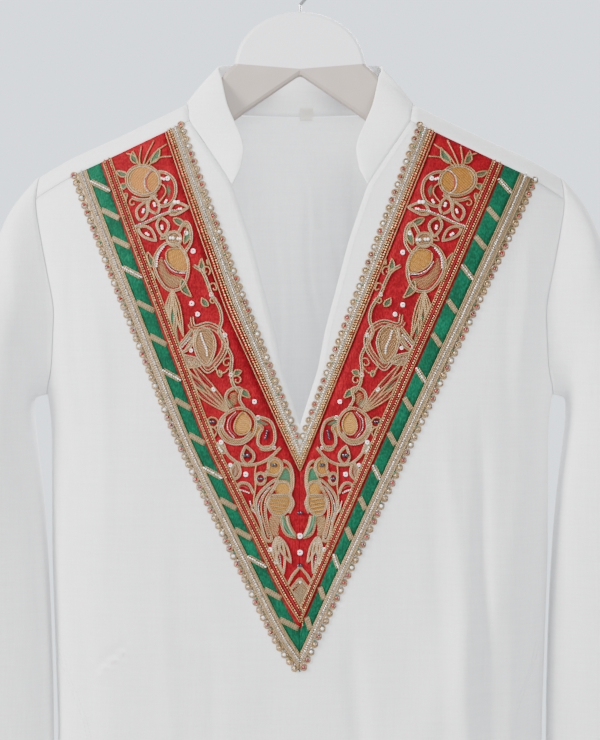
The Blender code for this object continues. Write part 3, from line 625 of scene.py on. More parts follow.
def sleeve_cloth(name, side):
    angle = np.linspace(0.0, 2.0 * np.pi, SLEEVE_RING, endpoint=False)
    middle, half = (ARM_TOP + ARM_BOTTOM) / 2, (ARM_TOP - ARM_BOTTOM) / 2
    ring_z = middle + half * np.cos(angle)
    ring_x = arm_distance(ring_z)
    ahead = np.minimum(front_y(side * ring_x, ring_z), 0.0)
    ring_y = np.where(angle <= np.pi, ahead, np.maximum(back_y(side * ring_x, ring_z), 0.0))
    ring_y[0] = 0.0
    ring = np.stack((ring_x + SLEEVE_GAP, ring_y, ring_z), axis=-1)
    last = float(len(SLEEVE_DEPTH))
    at = np.concatenate((np.linspace(0.0, 1.0, 14)[:-1], np.linspace(1.0, last, SLEEVE_ROWS)))[:, None]
    share = at / last
    out_x, out_z, in_x, in_z, depth = OUT_X(at), OUT_Z(at), IN_X(at), IN_Z(at), SLEEVE_HALF(at)
    turn = angle[None, :]
    fold = 1.0 + 0.09 * ramp(share, 0.1, 0.6) * np.sin(3.0 * turn + 2.0 + 2.5 * share)
    extra = np.zeros_like(turn * at)
    for centre, lean, sharp, high, start, end in SLEEVE_FOLDS:
        place = centre + lean * (at - start) + 0.05 * np.sin(at * 1.3 + centre) + 0.25 * (side > 0)
        away = 1.0 - np.cos(turn - place)
        extra = extra + high * ramp(at, start, start + 2.0) * ramp(at, end, end - 2.5) * np.exp(-sharp * away)
    extra = extra + 0.0005 * ramp(at, 0.5, 3.0) * np.sin(5.0 * turn + at * 0.8 + side)
    round_x, round_y = np.cos(turn), -np.sin(turn)
    blunt = 1.0 - 0.45 * ramp(at, 2.0, 6.0) * ramp(round_x, 0.1, -0.6)
    round_y = np.sign(round_y) * np.abs(round_y) ** blunt
    extra_x = extra * np.where(round_x < 0.0, 0.25 * round_x, round_x)
    spots = np.stack((
        (out_x + in_x) / 2 + (out_x - in_x) / 2 * round_x + extra_x,
        -SLEEVE_FORWARD * ramp(share, 0.2, 1.0) + (depth * fold + extra) * round_y,
        (out_z + in_z) / 2 + (out_z - in_z) / 2 * round_x,
    ), axis=-1)
    start = spots[0]
    held = (1.0 - ramp(at, 0.0, 2.6))[..., None]
    spots = spots + (ring - start)[None] * held
    spots[..., 0] *= side
    return shell(name, *grid(spots, flip=side > 0, closed=True), CLOTH, COTTON)


def spread(values, count):
    """Values at count even places along a short table, on a smooth curve through them."""
    values = np.asarray(values, dtype=float)
    at = np.linspace(0.0, len(values) - 1.0, count)
    low = np.minimum(at.astype(int), len(values) - 2)
    part = (at - low)[:, None]
    padded = np.concatenate((2 * values[:1] - values[1:2], values, 2 * values[-1:] - values[-2:-1]))
    p0, p1, p2, p3 = (padded[low + i] for i in range(4))
    return 0.5 * (2 * p1 + (p2 - p0) * part + (2 * p0 - 5 * p1 + 4 * p2 - p3) * part ** 2
                  + (3 * p1 - p0 - 3 * p2 + p3) * part ** 3)


def collar_lines():
    """The collar's seam and top edge, from the left front end round the back to the right front end."""
    seam = []
    for z in COLLAR_SEAM_Z:
        x = float(slit_width(z))
        seam.append((x, float(front_y(x, z)), z))
    for drop in COLLAR_SEAM_DROPS:
        x = NECK_RIDGE_X - 0.003 * drop / SEAM_DROP
        z = float(ridge_height(x)) - drop
        seam.append((x, float(front_y(x, z)), z))
    seam.append((NECK_RIDGE_X, 0.0, float(ridge_height(NECK_RIDGE_X))))
    for share in (0.8, 0.6, 0.4, 0.0):
        x = NECK_RIDGE_X * share
        z = float(back_neck(x))
        seam.append((x, float(back_y(x, z)), z))
    top = list(zip(COLLAR_TOP_X, COLLAR_TOP_Y, COLLAR_TOP_Z))
    mirrored = []
    for line in (seam, top):
        flipped = [(-x, y, z) for x, y, z in line]
        mirrored.append(spread(flipped + [p for p in reversed(line)][1:], COLLAR_STATIONS * 2))
    return mirrored


def collar_cloth():
    seam, top = collar_lines()
    rise = top - seam
    height = np.linalg.norm(rise, axis=1, keepdims=True)
    up = rise / height
    along = np.gradient(seam * 0.5 + top * 0.5, axis=0)
    along /= np.linalg.norm(along, axis=1, keepdims=True)
    out = np.cross(up, along)
    middle = np.array((0.0, 0.0, -0.1))
    away = (seam + top) / 2 - middle
    away[:, 2] = 0.0
    out *= np.sign((out * away).sum(axis=1, keepdims=True))
    out /= np.linalg.norm(out, axis=1, keepdims=True)
    seam = seam + up * COLLAR_GAP
    half = COLLAR_CLOTH / 2
    rows = []
    for share in np.linspace(0.0, 1.0, 12):
        crown = 0.001 * math.sin(math.pi * share) - 0.0004 * math.exp(-((share - 0.13) / 0.04) ** 2)
        rows.append(seam + (top - seam) * share - up * half * share + out * crown)
    for angle in np.linspace(0.0, math.pi, 7)[1:-1]:
        rows.append(top - up * half + (out * (math.cos(angle) - 1.0) + up * math.sin(angle)) * half)
    for share in np.linspace(1.0, 0.0, 10):
        rows.append(seam + (top - seam) * share - up * half * share - out * COLLAR_CLOTH)
    points = np.stack(rows, axis=1)
    points, quads = grid(points, closed=True)
    round_count = len(rows)
    caps = []
    for base in (0, (COLLAR_STATIONS * 2 - 1) * round_count):
        ring = base + np.arange(round_count)
        for i in range(round_count // 2 - 1):
            cap = (ring[i], ring[i + 1], ring[round_count - 2 - i], ring[round_count - 1 - i])
            caps.append(cap if base == 0 else cap[::-1])
    quads = np.concatenate((quads, np.array(caps)))
    return add_mesh("collar_band", points, quads, COTTON)


def label_cloth():
    """The blank woven label behind the neck, a little bowed, its lower corners lifting."""
    across, up = np.meshgrid(np.linspace(-0.5, 0.5, 15), np.linspace(0.5, -0.5, 15))
    x = LABEL_X + across * LABEL_SIZE
    z = LABEL_TOP_Z + (up - 0.5) * LABEL_SIZE
    inside = float(back_y(LABEL_X, NECK_BACK_Z)) - COLLAR_CLOTH - LABEL_CLEAR
    y = inside - 0.0003 * (1.0 - 4.0 * across ** 2) - 0.0004 * np.abs(2.0 * across) ** 3 * (0.5 - up) ** 2
    return shell("label_tape", *grid(np.stack((x, y, z), axis=-1)), 0.0005, TAPE)


# Yoke lines
def yoke_polyline(name, side):
    """A yoke line's corners in the front view, as in the solids."""
    top_x, mid_x, mid_z, low_x, low_z, tip_z = YOKE_LINES[name]
    if side > 0:
        top_x *= 1.0 + RIGHT_SPREAD * (top_x / YOKE_LINES["lace_out_edge"][0]) ** 3
        slope = top_x / (float(seam_height(top_x)) - tip_z)
        mid_x = (mid_z - tip_z) * slope
        low_x = (low_z - tip_z) * slope
    return (top_x, mid_x, low_x, 0.0), (float(seam_height(top_x)), mid_z, low_z, tip_z)


def run_line(name, side, inward=0.0, blend_to=None, part=0.0):
    """Even points of a yoke line from the seam to the centre line, moved inward by a distance.

    With blend_to the line lies part of the way to that other line. x is the distance from the centre.
    """
    shares = np.linspace(0.0, 1.0, 400)
    found = []
    for line in (name, blend_to or name):
        xs, zs = yoke_polyline(line, side)
        x = smooth_table(LINE_SHARE, xs, 0.03)(shares)
        z = smooth_table(LINE_SHARE, zs, 0.03)(shares)
        x[-1], z[-1] = 0.0, zs[-1]
        found.append(np.stack((x, z), axis=1))
    line = found[0] * (1.0 - part) + found[1] * part
    run = np.gradient(line, axis=0)
    run /= np.linalg.norm(run, axis=1, keepdims=True)
    line = line + np.stack((run[:, 1], -run[:, 0]), axis=1) * inward
    end = line[-1] - run[-1] * line[-1, 0] / min(run[-1, 0], -0.05)
    line = line[line[:, 0] > 0.0002]
    line = np.concatenate((line, ((0.0, end[1]),)))
    top = float(seam_height(line[0, 0]))
    start = line[0] + (line[0] - line[1]) / (line[0, 1] - line[1, 1] + 1e-9) * (top - line[0, 1])
    line[0] = start if abs(start[1] - line[0, 1]) < 0.02 else line[0]
    return even(line, 0.0022)


def even(line, step):
    """The same line with points at even steps."""
    line = np.asarray(line, dtype=float)
    far = np.concatenate(((0.0,), np.cumsum(np.linalg.norm(np.diff(line, axis=0), axis=1))))
    at = np.linspace(0.0, far[-1], max(int(round(far[-1] / step)), 2) + 1)
    return np.stack([np.interp(at, far, line[:, i]) for i in range(line.shape[1])], axis=1)


def band(name, outer, inner, thickness, finish, across, lift=0.0005):
    """A band of cloth on both halves of the yoke, between two lines that are moved inward."""
    shares = np.linspace(0.0, 1.0, across)[None, :, None]
    parts = []
    for side in (-1, 1):
        picked = []
        for line, shift in (inner, outer):
            dense = even(run_line(line, side, shift), 0.0005)
            at = np.linspace(0.0, len(dense) - 1.0, BAND_STATIONS)
            picked.append(np.stack([np.interp(at, np.arange(len(dense)), dense[:, i]) for i in (0, 1)], axis=1))
        flat = picked[0][:, None] * (1.0 - shares) + picked[1][:, None] * shares
        points, _ = on_front(side * flat[..., 0], flat[..., 1], lift + thickness)
        parts.append(grid(points, flip=side < 0))
    return shell(name, *joined(parts, weld=True), thickness, finish)


# Cords and beads
def tube(points, radius, sides=6, flat=1.0, normal=None):
    """A tube along points, its ends drawn in. flat squashes it along the normals."""
    points = np.asarray(points, dtype=float)
    along = np.gradient(points, axis=0)
    along /= np.maximum(np.linalg.norm(along, axis=1, keepdims=True), 1e-9)
    if normal is None:
        normal = np.tile((0.0, -1.0, 0.0), (len(points), 1))
    across = np.cross(along, normal)
    across /= np.maximum(np.linalg.norm(across, axis=1, keepdims=True), 1e-9)
    up = np.cross(across, along)
    radii = np.full(len(points), radius)
    radii[0] = radii[-1] = radius * 0.35
    turn = np.linspace(0.0, 2 * np.pi, sides, endpoint=False) + np.pi / sides
    ring = across[:, None] * np.cos(turn)[None, :, None] + up[:, None] * (np.sin(turn) * flat)[None, :, None]
    spots = points[:, None] + ring * radii[:, None, None]
    far = np.concatenate(((0.0,), np.cumsum(np.linalg.norm(np.diff(points, axis=0), axis=1))))
    place = np.stack((np.broadcast_to(far[:, None], spots.shape[:2]),
                      np.broadcast_to(turn[None] * radius, spots.shape[:2])), axis=-1)
    flat_points, quads = grid(spots, closed=True)
    return flat_points, quads, place.reshape(-1, 2)


class Sewing:
    """Many small things of one finish that become one mesh."""

    def __init__(self, name, finish, slot, sides=6):
        self.name, self.finish, self.slot, self.sides = name, finish, slot, sides
        self.points, self.quads, self.places, self.count = [], [], [], 0

    def take(self, points, quads, places=None):
        self.points.append(points)
        self.quads.append(np.asarray(quads) + self.count)
        self.places.append(np.zeros((len(points), 2)) if places is None else places)
        self.count += len(points)

    def cord(self, line, side, lift, radius=0.00045, step=0.0016, flat=0.8):
        """A cord laid on the front along a line in the front view. side -1 is the left half."""
        line = even(line, step)
        points, normal = on_front(side * line[:, 0], line[:, 1], lift + radius * flat)
        self.take(*tube(points, radius, self.sides, flat, normal))

    def build(self):
        made = add_mesh(self.name, np.concatenate(self.points), np.concatenate(self.quads), self.finish,
                        np.concatenate(self.places))
        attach(made, "root")


def ball(sides=6, rings=4):
    """A low ball as quads, its poles closed by narrow quads."""
    turn = np.linspace(0.0, 2 * np.pi, sides, endpoint=False)
    tilt = np.linspace(0.02, np.pi - 0.02, rings + 1)
    points = np.stack((np.sin(tilt)[:, None] * np.cos(turn)[None], np.sin(tilt)[:, None] * np.sin(turn)[None],
                       np.broadcast_to(np.cos(tilt)[:, None], (rings + 1, sides))), axis=-1)
    return grid(points, closed=True)


BALL = ball()
SMALL_BALL = ball(5, 3)


def beads_on(sewing, x, z, radius, lift, shape=BALL, squash=0.8):
    """Beads on the front at points of the front view, each turned to the cloth."""
    x, z = np.atleast_1d(x).astype(float), np.atleast_1d(z).astype(float)
    radius = np.broadcast_to(radius, x.shape)
    centres, normals = on_front(x, z, lift + radius * squash)
    side_way = np.cross(normals, (0.0, 0.0, 1.0))
    side_way /= np.linalg.norm(side_way, axis=1, keepdims=True)
    up_way = np.cross(side_way, normals)
    points, quads = shape
    for centre, normal, a, b, r in zip(centres, normals, side_way, up_way, radius):
        placed = centre + (points[:, :1] * a + points[:, 1:2] * b + points[:, 2:] * normal * squash) * r
        sewing.take(placed, quads)


# The garment's cloth
front_panel = front_cloth()
back_panel = back_cloth()
sleeve_l = sleeve_cloth("sleeve_l", -1)
sleeve_r = sleeve_cloth("sleeve_r", 1)
collar_band = collar_cloth()
for piece, node in ((front_panel, "front"), (back_panel, "back"), (sleeve_l, "sleeve_left"),
                    (sleeve_r, "sleeve_right"), (collar_band, "collar")):
    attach(piece, "root")
    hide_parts(node)

# Bands: piece, outer and inner line with their shifts, thickness, material, points across, lift, solid, slot
BANDS = {}
for name, outer, inner, thickness, finish, across, lift, node, slot in (
    ("red_field", ("red_out", -0.0002), ("braid_in_base", 0.0004), 0.0007, RED, 9, 0.0005, "yoke_red", "red_silk"),
    ("green_band", ("green_out", -0.0002), ("red_out", 0.0002), 0.0007, GREEN, 5, 0.0005, "yoke_green", "green_silk"),
    ("inner_ground", ("braid_in_base", 0.0002), ("lace_in_base", 0.0), 0.0007, RED, 5, 0.0005, "braid_inner",
     "gold_cord"),
    ("lace_in_ground", ("lace_in_base", 0.0), ("lace_in_edge", -0.003), 0.0005, PALE_GOLD, 4, 0.0005, "lace_inner",
     "bead_lace"),
    ("lace_out_ground", ("lace_out_edge", 0.0042), ("green_out", 0.0), 0.0005, PALE_GOLD, 5, 0.0005, "lace_outer",
     "bead_lace"),
    ("outer_ground", ("braid_out_out", 0.0), ("braid_out_in", 0.0), 0.0002, RED, 3, 0.0012, "braid_outer",
     "gold_cord"),
):
    BANDS[name] = band(name, outer, inner, thickness, finish, across, lift)
    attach(BANDS[name], "root")
    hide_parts(node)


# Sewn work on the yoke
def edge_at(name, side):
    """Distance from the centre of a yoke line, by height."""
    line = run_line(name, side)
    return lambda z: np.interp(z, line[::-1, 1], line[::-1, 0])


FIELD_EDGE = {side: (edge_at("braid_in_base", side), edge_at("braid_out_in", side)) for side in (-1, 1)}
BORDER_EDGE = {side: (edge_at("red_out", side), edge_at("green_out", side)) for side in (-1, 1)}


# Least distance of a motif from the field's edges
INNER_MARGIN = 0.0008
OUTER_MARGIN = 0.002


def to_side(line, side):
    """Places drawn on the left field, kept inside it, or at the same share of the right field's width."""
    x, z = np.asarray(line, dtype=float).T
    near, far = FIELD_EDGE[-1][0](z), FIELD_EDGE[-1][1](z)
    inside = far - OUTER_MARGIN
    x = np.clip(x, np.where(near > 0.002, near + INNER_MARGIN, -inside), inside)
    if side < 0:
        return np.stack((x, z), axis=1)
    share = (x - near) / np.maximum(far - near, 0.004)
    low, high = FIELD_EDGE[1][0](z), FIELD_EDGE[1][1](z)
    return np.stack((low + share * (high - low), z), axis=1)


GOLD_CORDS = Sewing("gold_cords", GOLD, "gold_cord", 5)
PALE_CORDS = Sewing("pale_braids", PALE_GOLD, "bead_lace", 5)
OCHRE_STITCHES = Sewing("ochre_stitches", OCHRE, "gold_cord", 4)
GREEN_STITCHES = Sewing("green_stitches", LEAF, "green_silk", 4)
RED_STITCHES = Sewing("red_stitches", DEEP_RED, "red_silk", 4)
SILVER_BEADS = Sewing("silver_beads", SILVER, "bead_lace")
GOLD_BEADS = Sewing("gold_beads", GOLD_BEAD, "gold_cord")
RED_BEADS = Sewing("red_beads", RED_BEAD, "bead_lace")
STONES = Sewing("white_stones", STONE, "bead_lace")
DARK_STONES = Sewing("dark_stones", DARK, "bead_lace")
SEWN = (GOLD_CORDS, PALE_CORDS, OCHRE_STITCHES, GREEN_STITCHES, RED_STITCHES, SILVER_BEADS, GOLD_BEADS, RED_BEADS,
        STONES, DARK_STONES)
ON_CLOTH = 0.0012

# Rows along the inner and outer edges: what is laid, share of the way out, size
INNER_ROWS = (
    ("gold", 0.03, 0.0006), ("gold_beads", 0.19, 0.00105), ("gold_beads", 0.325, 0.00105),
    ("pale", 0.42, 0.0006), ("pale", 0.485, 0.0006), ("silver_beads", 0.57, 0.00105),
    ("pale", 0.655, 0.0006), ("gold", 0.71, 0.00045), ("pale", 0.765, 0.00045),
)
OUTER_ROWS = (
    ("gold", 0.03, 0.0006), ("pale", 0.12, 0.0006), ("gold", 0.19, 0.0005), ("silver_beads", 0.29, 0.00105),
    ("pale", 0.39, 0.0006), ("gold", 0.46, 0.0006), ("pale", 0.53, 0.0006),
)
# The outer braid on the red: two gold rows with dark red between
LADDER_ROWS = (("gold", -0.30, 0.0005), ("gold_beads", 0.05, 0.0009), ("red", 0.5, 0.0005),
               ("gold_beads", 0.95, 0.0009),
               ("gold", 1.30, 0.0005))


def bead_row(sewing, line, side, radius, pitch, lift, shape=SMALL_BALL):
    line = even(line, pitch)
    beads_on(sewing, side * line[:, 0], line[:, 1], radius, lift, shape)


def lay_rows(rows, first, last, lift):
    for side in (-1, 1):
        for kind, share, size in rows:
            line = run_line(first, side, blend_to=last, part=share)
            if kind == "gold":
                GOLD_CORDS.cord(line, side, lift, size)
            elif kind == "pale":
                PALE_CORDS.cord(line, side, lift, size)
            elif kind == "red":
                RED_STITCHES.cord(line, side, lift, size, 0.003)
            elif kind == "gold_beads":
                bead_row(GOLD_BEADS, line, side, size, 0.0021, lift)
            else:
                bead_row(SILVER_BEADS, line, side, size, 0.0019, lift)


def scallop_lace(first, last, share, pitch, ring, lift):
    """Bead rosettes along a lace's free edge: a bright centre bead in a loop of gold cord, with small silver and
    green beads in a row beside them.
    """
    number = 0
    for side in (-1, 1):
        line = even(run_line(first, side, blend_to=last, part=share), pitch)
        between = even(run_line(first, side, blend_to=last, part=share - 0.14), pitch)
        beads_on(SILVER_BEADS, side * between[::2, 0], between[::2, 1], 0.0008, lift, SMALL_BALL)
        beads_on(GREEN_STITCHES, side * between[1::2, 0], between[1::2, 1], 0.0009, lift, SMALL_BALL)
        for x, z in line[:-1]:
            rim = np.arange(13) * (2 * np.pi / 12)
            loop = np.stack((x + ring * np.cos(rim), z + ring * np.sin(rim)), axis=1)
            points, normal = on_front(side * loop[:, 0], loop[:, 1], lift)
            GOLD_CORDS.take(*tube(points, 0.00085, 5, 0.9, normal))
            centre = (RED_BEADS, GOLD_BEADS, RED_BEADS, GOLD_BEADS, STONES)[(number * 3 + number // 7) % 5]
            beads_on(centre, side * x, z, ring * 0.58, lift * 0.5, BALL)
            number += 1


lay_rows(INNER_ROWS, "braid_in_base", "lace_in_edge", ON_CLOTH)
lay_rows(OUTER_ROWS, "green_out", "lace_out_edge", ON_CLOTH)
lay_rows(LADDER_ROWS, "braid_out_in", "braid_out_out", 0.0014)
scallop_lace("braid_in_base", "lace_in_edge", 0.875, 0.0068, 0.0024, 0.0009)
scallop_lace("green_out", "lace_out_edge", 0.79, 0.0069, 0.0025, 0.0009)

# Slanting stripes on the green: heights of their middles
STRIPE_HEIGHTS = (-0.1936, -0.2171, -0.2406, -0.2649, -0.2925, -0.3200, -0.3484, -0.3719, -0.4002, -0.4277,
                  -0.4528, -0.4771, -0.4998, -0.5257, -0.5500)
STRIPE_LEAN = {-1: -0.0042, 1: 0.0058}


def stripes():
    for side in (-1, 1):
        near, far = BORDER_EDGE[side]
        lean = STRIPE_LEAN[side]
        for i, z in enumerate(STRIPE_HEIGHTS):
            inner = np.array((float(near(z + lean)), z + lean))
            outer = np.array((float(far(z - lean)), z - lean))
            run = (outer - inner) / np.linalg.norm(outer - inner)
            off = np.array((-run[1], run[0]))
            inner, outer = inner + run * 0.0004, outer - run * 0.0006
            for shift in (-0.0016, 0.0016):
                GOLD_CORDS.cord((inner + off * shift, outer + off * shift), side, ON_CLOTH, 0.0006)
            if i % 3 == 0:
                line = even((inner, outer), 0.0019)
                beads_on(SILVER_BEADS, side * line[:, 0], line[:, 1], 0.00105, ON_CLOTH, BALL, 0.6)
            else:
                for shift in (-0.0005, 0.0005):
                    PALE_CORDS.cord((inner + off * shift, outer + off * shift), side, ON_CLOTH, 0.0005)


stripes()

# Motifs, drawn in millimetres: across towards the neck, then up, from each motif's own middle
def smooth_line(points, closed=False, step=0.6):
    """A rounded line through points."""
    points = np.asarray(points, dtype=float)
    if closed:
        ring = np.concatenate((points[-2:], points, points[:3]))
        line = spread(ring, len(ring) * 12)
        low, high = 12 * 2, 12 * 2 + 12 * len(points)
        scale = (len(line) - 1) / (len(ring) - 1)
        line = line[int(round(2 * scale)):int(round((2 + len(points)) * scale)) + 1]
        line = np.concatenate((line, line[:1]))
    else:
        line = spread(points, len(points) * 12)
    return even(line, step)


def oval(a, b, wide, tall, tilt=0.0, start=0.0, end=360.0):
    turn = np.radians(np.linspace(start, end, max(int(abs(end - start) / 10), 6) + 1))
    x, y = wide * np.cos(turn), tall * np.sin(turn)
    tilt = math.radians(tilt)
    cos, sin = math.cos(tilt), math.sin(tilt)
    return np.stack((a + x * cos - y * sin, b + x * sin + y * cos), axis=1)


def leaf(a, b, length, width, direction, curl=0.0):
    """A pointed leaf from its stem end, curling to one side."""
    share = np.concatenate((np.linspace(0.0, 1.0, 12), np.linspace(1.0, 0.0, 12)[1:]))
    side = np.concatenate((np.ones(12), -np.ones(11)))
    half = side * width / 2 * np.sin(np.pi * share ** 0.8) + curl * np.sin(np.pi * share)
    turn = math.radians(direction)
    x = length * share * math.cos(turn) - half * math.sin(turn)
    y = length * share * math.sin(turn) + half * math.cos(turn)
    return np.stack((a + x, b + y), axis=1)


def curl(a, b, radius, start, turns, tight=0.25):
    """A spiral that closes in on a, b."""
    share = np.linspace(0.0, 1.0, int(18 * abs(turns)) + 6)
    turn = math.radians(start) + 2 * math.pi * turns * share
    reach = radius * (1.0 - (1.0 - tight) * share)
    return np.stack((a + reach * np.cos(turn), b + reach * np.sin(turn)), axis=1)


def beside(line, distance):
    run = np.gradient(np.asarray(line, dtype=float), axis=0)
    run /= np.maximum(np.linalg.norm(run, axis=1, keepdims=True), 1e-9)
    return line + np.stack((-run[:, 1], run[:, 0]), axis=1) * distance


def hatch(outline, direction, pitch):
    """Parallel stitches that fill an outline."""
    turn = math.radians(direction)
    way, across = np.array((math.cos(turn), math.sin(turn))), np.array((-math.sin(turn), math.cos(turn)))
    along, level = outline @ way, outline @ across
    found = []
    for at in np.arange(level.min() + pitch / 2, level.max(), pitch):
        below = level < at
        cuts = np.nonzero(below[:-1] != below[1:])[0]
        ahead = cuts + 1
        spots = along[cuts] + (along[ahead] - along[cuts]) * (at - level[cuts]) / (level[ahead] - level[cuts])
        spots = np.sort(spots)
        for first, last in zip(spots[::2], spots[1::2]):
            if last - first > 0.5:
                found.append((way * first + across * at, way * last + across * at))
    return found


class Motif:
    """Draws one motif on both sides of the yoke."""

    def __init__(self, across, height, sides=(-1, 1), shift=(0.0, 0.0), turn=0.0, size=1.0):
        self.middle = np.array((across, height))
        self.sides, self.shift, self.turn, self.size = sides, shift, math.radians(turn), size

    def placed(self, line, side):
        a, b = np.asarray(line, dtype=float).T * self.size
        turn = self.turn * (1.0 if side < 0 else 0.8)
        a, b = a * math.cos(turn) - b * math.sin(turn), a * math.sin(turn) + b * math.cos(turn)
        extra = np.array(self.shift) if side > 0 else np.zeros(2)
        place = self.middle + extra + np.stack((-a, b), axis=1) / 1000.0
        return to_side(place, side)

    def lay(self, sewing, line, size=0.0005, lift=ON_CLOTH, step=0.0012):
        for side in self.sides:
            sewing.cord(self.placed(line, side), side, lift, size, step)

    def double(self, line, gap=1.3):
        """A pair of gold cords, the look of most outlines."""
        for distance, sewing in ((-gap / 2, GOLD_CORDS), (gap / 2, PALE_CORDS)):
            self.lay(sewing, beside(line, distance), 0.00066)

    def single(self, line):
        self.lay(GOLD_CORDS, line, 0.0007)

    def fill(self, line, sewing, direction=0.0, pitch=0.85, size=0.00046, lift=0.0009):
        for first, last in hatch(np.asarray(line), direction, pitch):
            self.lay(sewing, np.array((first, last)), size, lift, 0.0024)

    def beads(self, sewing, line, size=0.0006, pitch=1.35, lift=ON_CLOTH):
        for side in self.sides:
            spots = even(self.placed(line, side), pitch / 1000.0)
            beads_on(sewing, side * spots[:, 0], spots[:, 1], size, lift, SMALL_BALL)

    def gem(self, sewing, a, b, wide, tall=None, direction=0.0):
        """A flat oval stone, or a few beads side by side for a long one."""
        tall = tall or wide
        count = max(int(round(wide / tall * 1.6)), 1)
        turn = math.radians(direction)
        for i in range(count):
            off = (i - (count - 1) / 2) * tall * 0.7
            spot = np.array(((a + off * math.cos(turn), b + off * math.sin(turn)),))
            for side in self.sides:
                at = self.placed(spot, side)
                beads_on(sewing, side * at[:, 0], at[:, 1], tall / 2000.0, ON_CLOTH * 0.9, BALL, 0.65)

    def sequin(self, a, b, radius=1.9):
        for side in self.sides:
            at = self.placed(np.array(((a, b),)), side)
            turn = np.linspace(0.0, 2 * np.pi, 13)
            loop = at + radius / 1000.0 * 0.68 * np.stack((np.cos(turn), np.sin(turn)), axis=1)
            points, normal = on_front(side * loop[:, 0], loop[:, 1], 0.0017)
            STONES.take(*tube(points, radius / 1000.0 * 0.42, 5, 0.5, normal))


def plumed_bird(motif):
    body = oval(-1, 0, 12, 10.5, -18)
    motif.fill(body, OCHRE_STITCHES, -28, 0.95)
    motif.double(body)
    motif.lay(GOLD_CORDS, oval(-1, 0, 9.6, 8.2, -18, 150, 300))
    motif.beads(SILVER_BEADS, oval(6.5, -1, 6.6, 8.4, -10, 95, 265), 0.0007)
    motif.lay(RED_STITCHES, oval(7.8, -1, 6.6, 8.2, -10, 100, 260), 0.0005)
    neck = smooth_line([(9, 6), (15, 5), (20.5, 0), (22, -8), (19.5, -15), (13.5, -18.5), (9, -17)])
    throat = smooth_line([(9.5, -2), (13.5, -4), (15, -8.5), (12.5, -13), (9, -17)])
    cheek = smooth_line([(16, -3), (18.5, -7), (17, -12), (15.5, -8)], closed=True)
    motif.fill(cheek, GREEN_STITCHES, 40)
    motif.double(neck)
    motif.single(throat)
    motif.gem(STONES, 12.8, 1, 3.4, 2.4, -20)
    motif.gem(STONES, 15, -15, 3.2, 2.3, 60)
    for tip, bend in (((-14, 20), (-7, 17)), ((-3, 25), (-4, 16)), ((6, 29), (1, 18)),
                      ((15, 26), (6, 19)), ((19, 17), (10, 16))):
        motif.single(smooth_line([(-2.0 + bend[0] * 0.3, 9.5), bend, tip]))
    for spot in (leaf(-6, 12, 10, 4, 108, 1), leaf(4, 12, 13, 4.4, 62, -1)):
        motif.fill(spot, GREEN_STITCHES, 60)
        motif.single(spot)
    for start, reach in ((4, 160), (-3, 188), (-9, 222)):
        spot = leaf(-12, start, 9, 3.8, reach, 0.8)
        motif.fill(spot, GREEN_STITCHES, reach + 70)
        motif.single(spot)
    motif.double(smooth_line([(-9, -12), (-3, -14), (4, -13.5), (9, -10)]))
    motif.single(curl(-8, -16, 3, 60, 0.9))


def four_leaf_sprig(motif):
    stem = smooth_line([(-17, -7), (-8, -3.5), (0, 0.5), (9, 4), (15, 5)])
    motif.beads(SILVER_BEADS, stem, 0.0008, 1.6)
    motif.single(beside(stem, -1.2))
    leaves = ((-1, 2, 14, 8, 104), (2, -1, 14, 8.5, -82), (-13, -3, 15, 8, 72),
              (-14, -8, 16, 7.5, -38))
    for a, b, length, width, way in leaves:
        spot = leaf(a, b, length, width, way, 0.8)
        motif.double(spot, 1)
        turn = math.radians(way)
        motif.gem(STONES, a + length * 0.5 * math.cos(turn), b + length * 0.5 * math.sin(turn), 3.6, 2.4, way)
    drop = leaf(8, 2, 15, 8, 18, 2)
    motif.double(drop, 1)
    motif.fill(leaf(11, -1.5, 12, 3.6, -30), GREEN_STITCHES, 60)
    motif.single(leaf(11, -1.5, 12, 4.4, -30))
    motif.gem(STONES, 16, 5.5, 3, 2.2, 10)
    motif.gem(STONES, 13.5, 10.5, 3.4, 3.4)


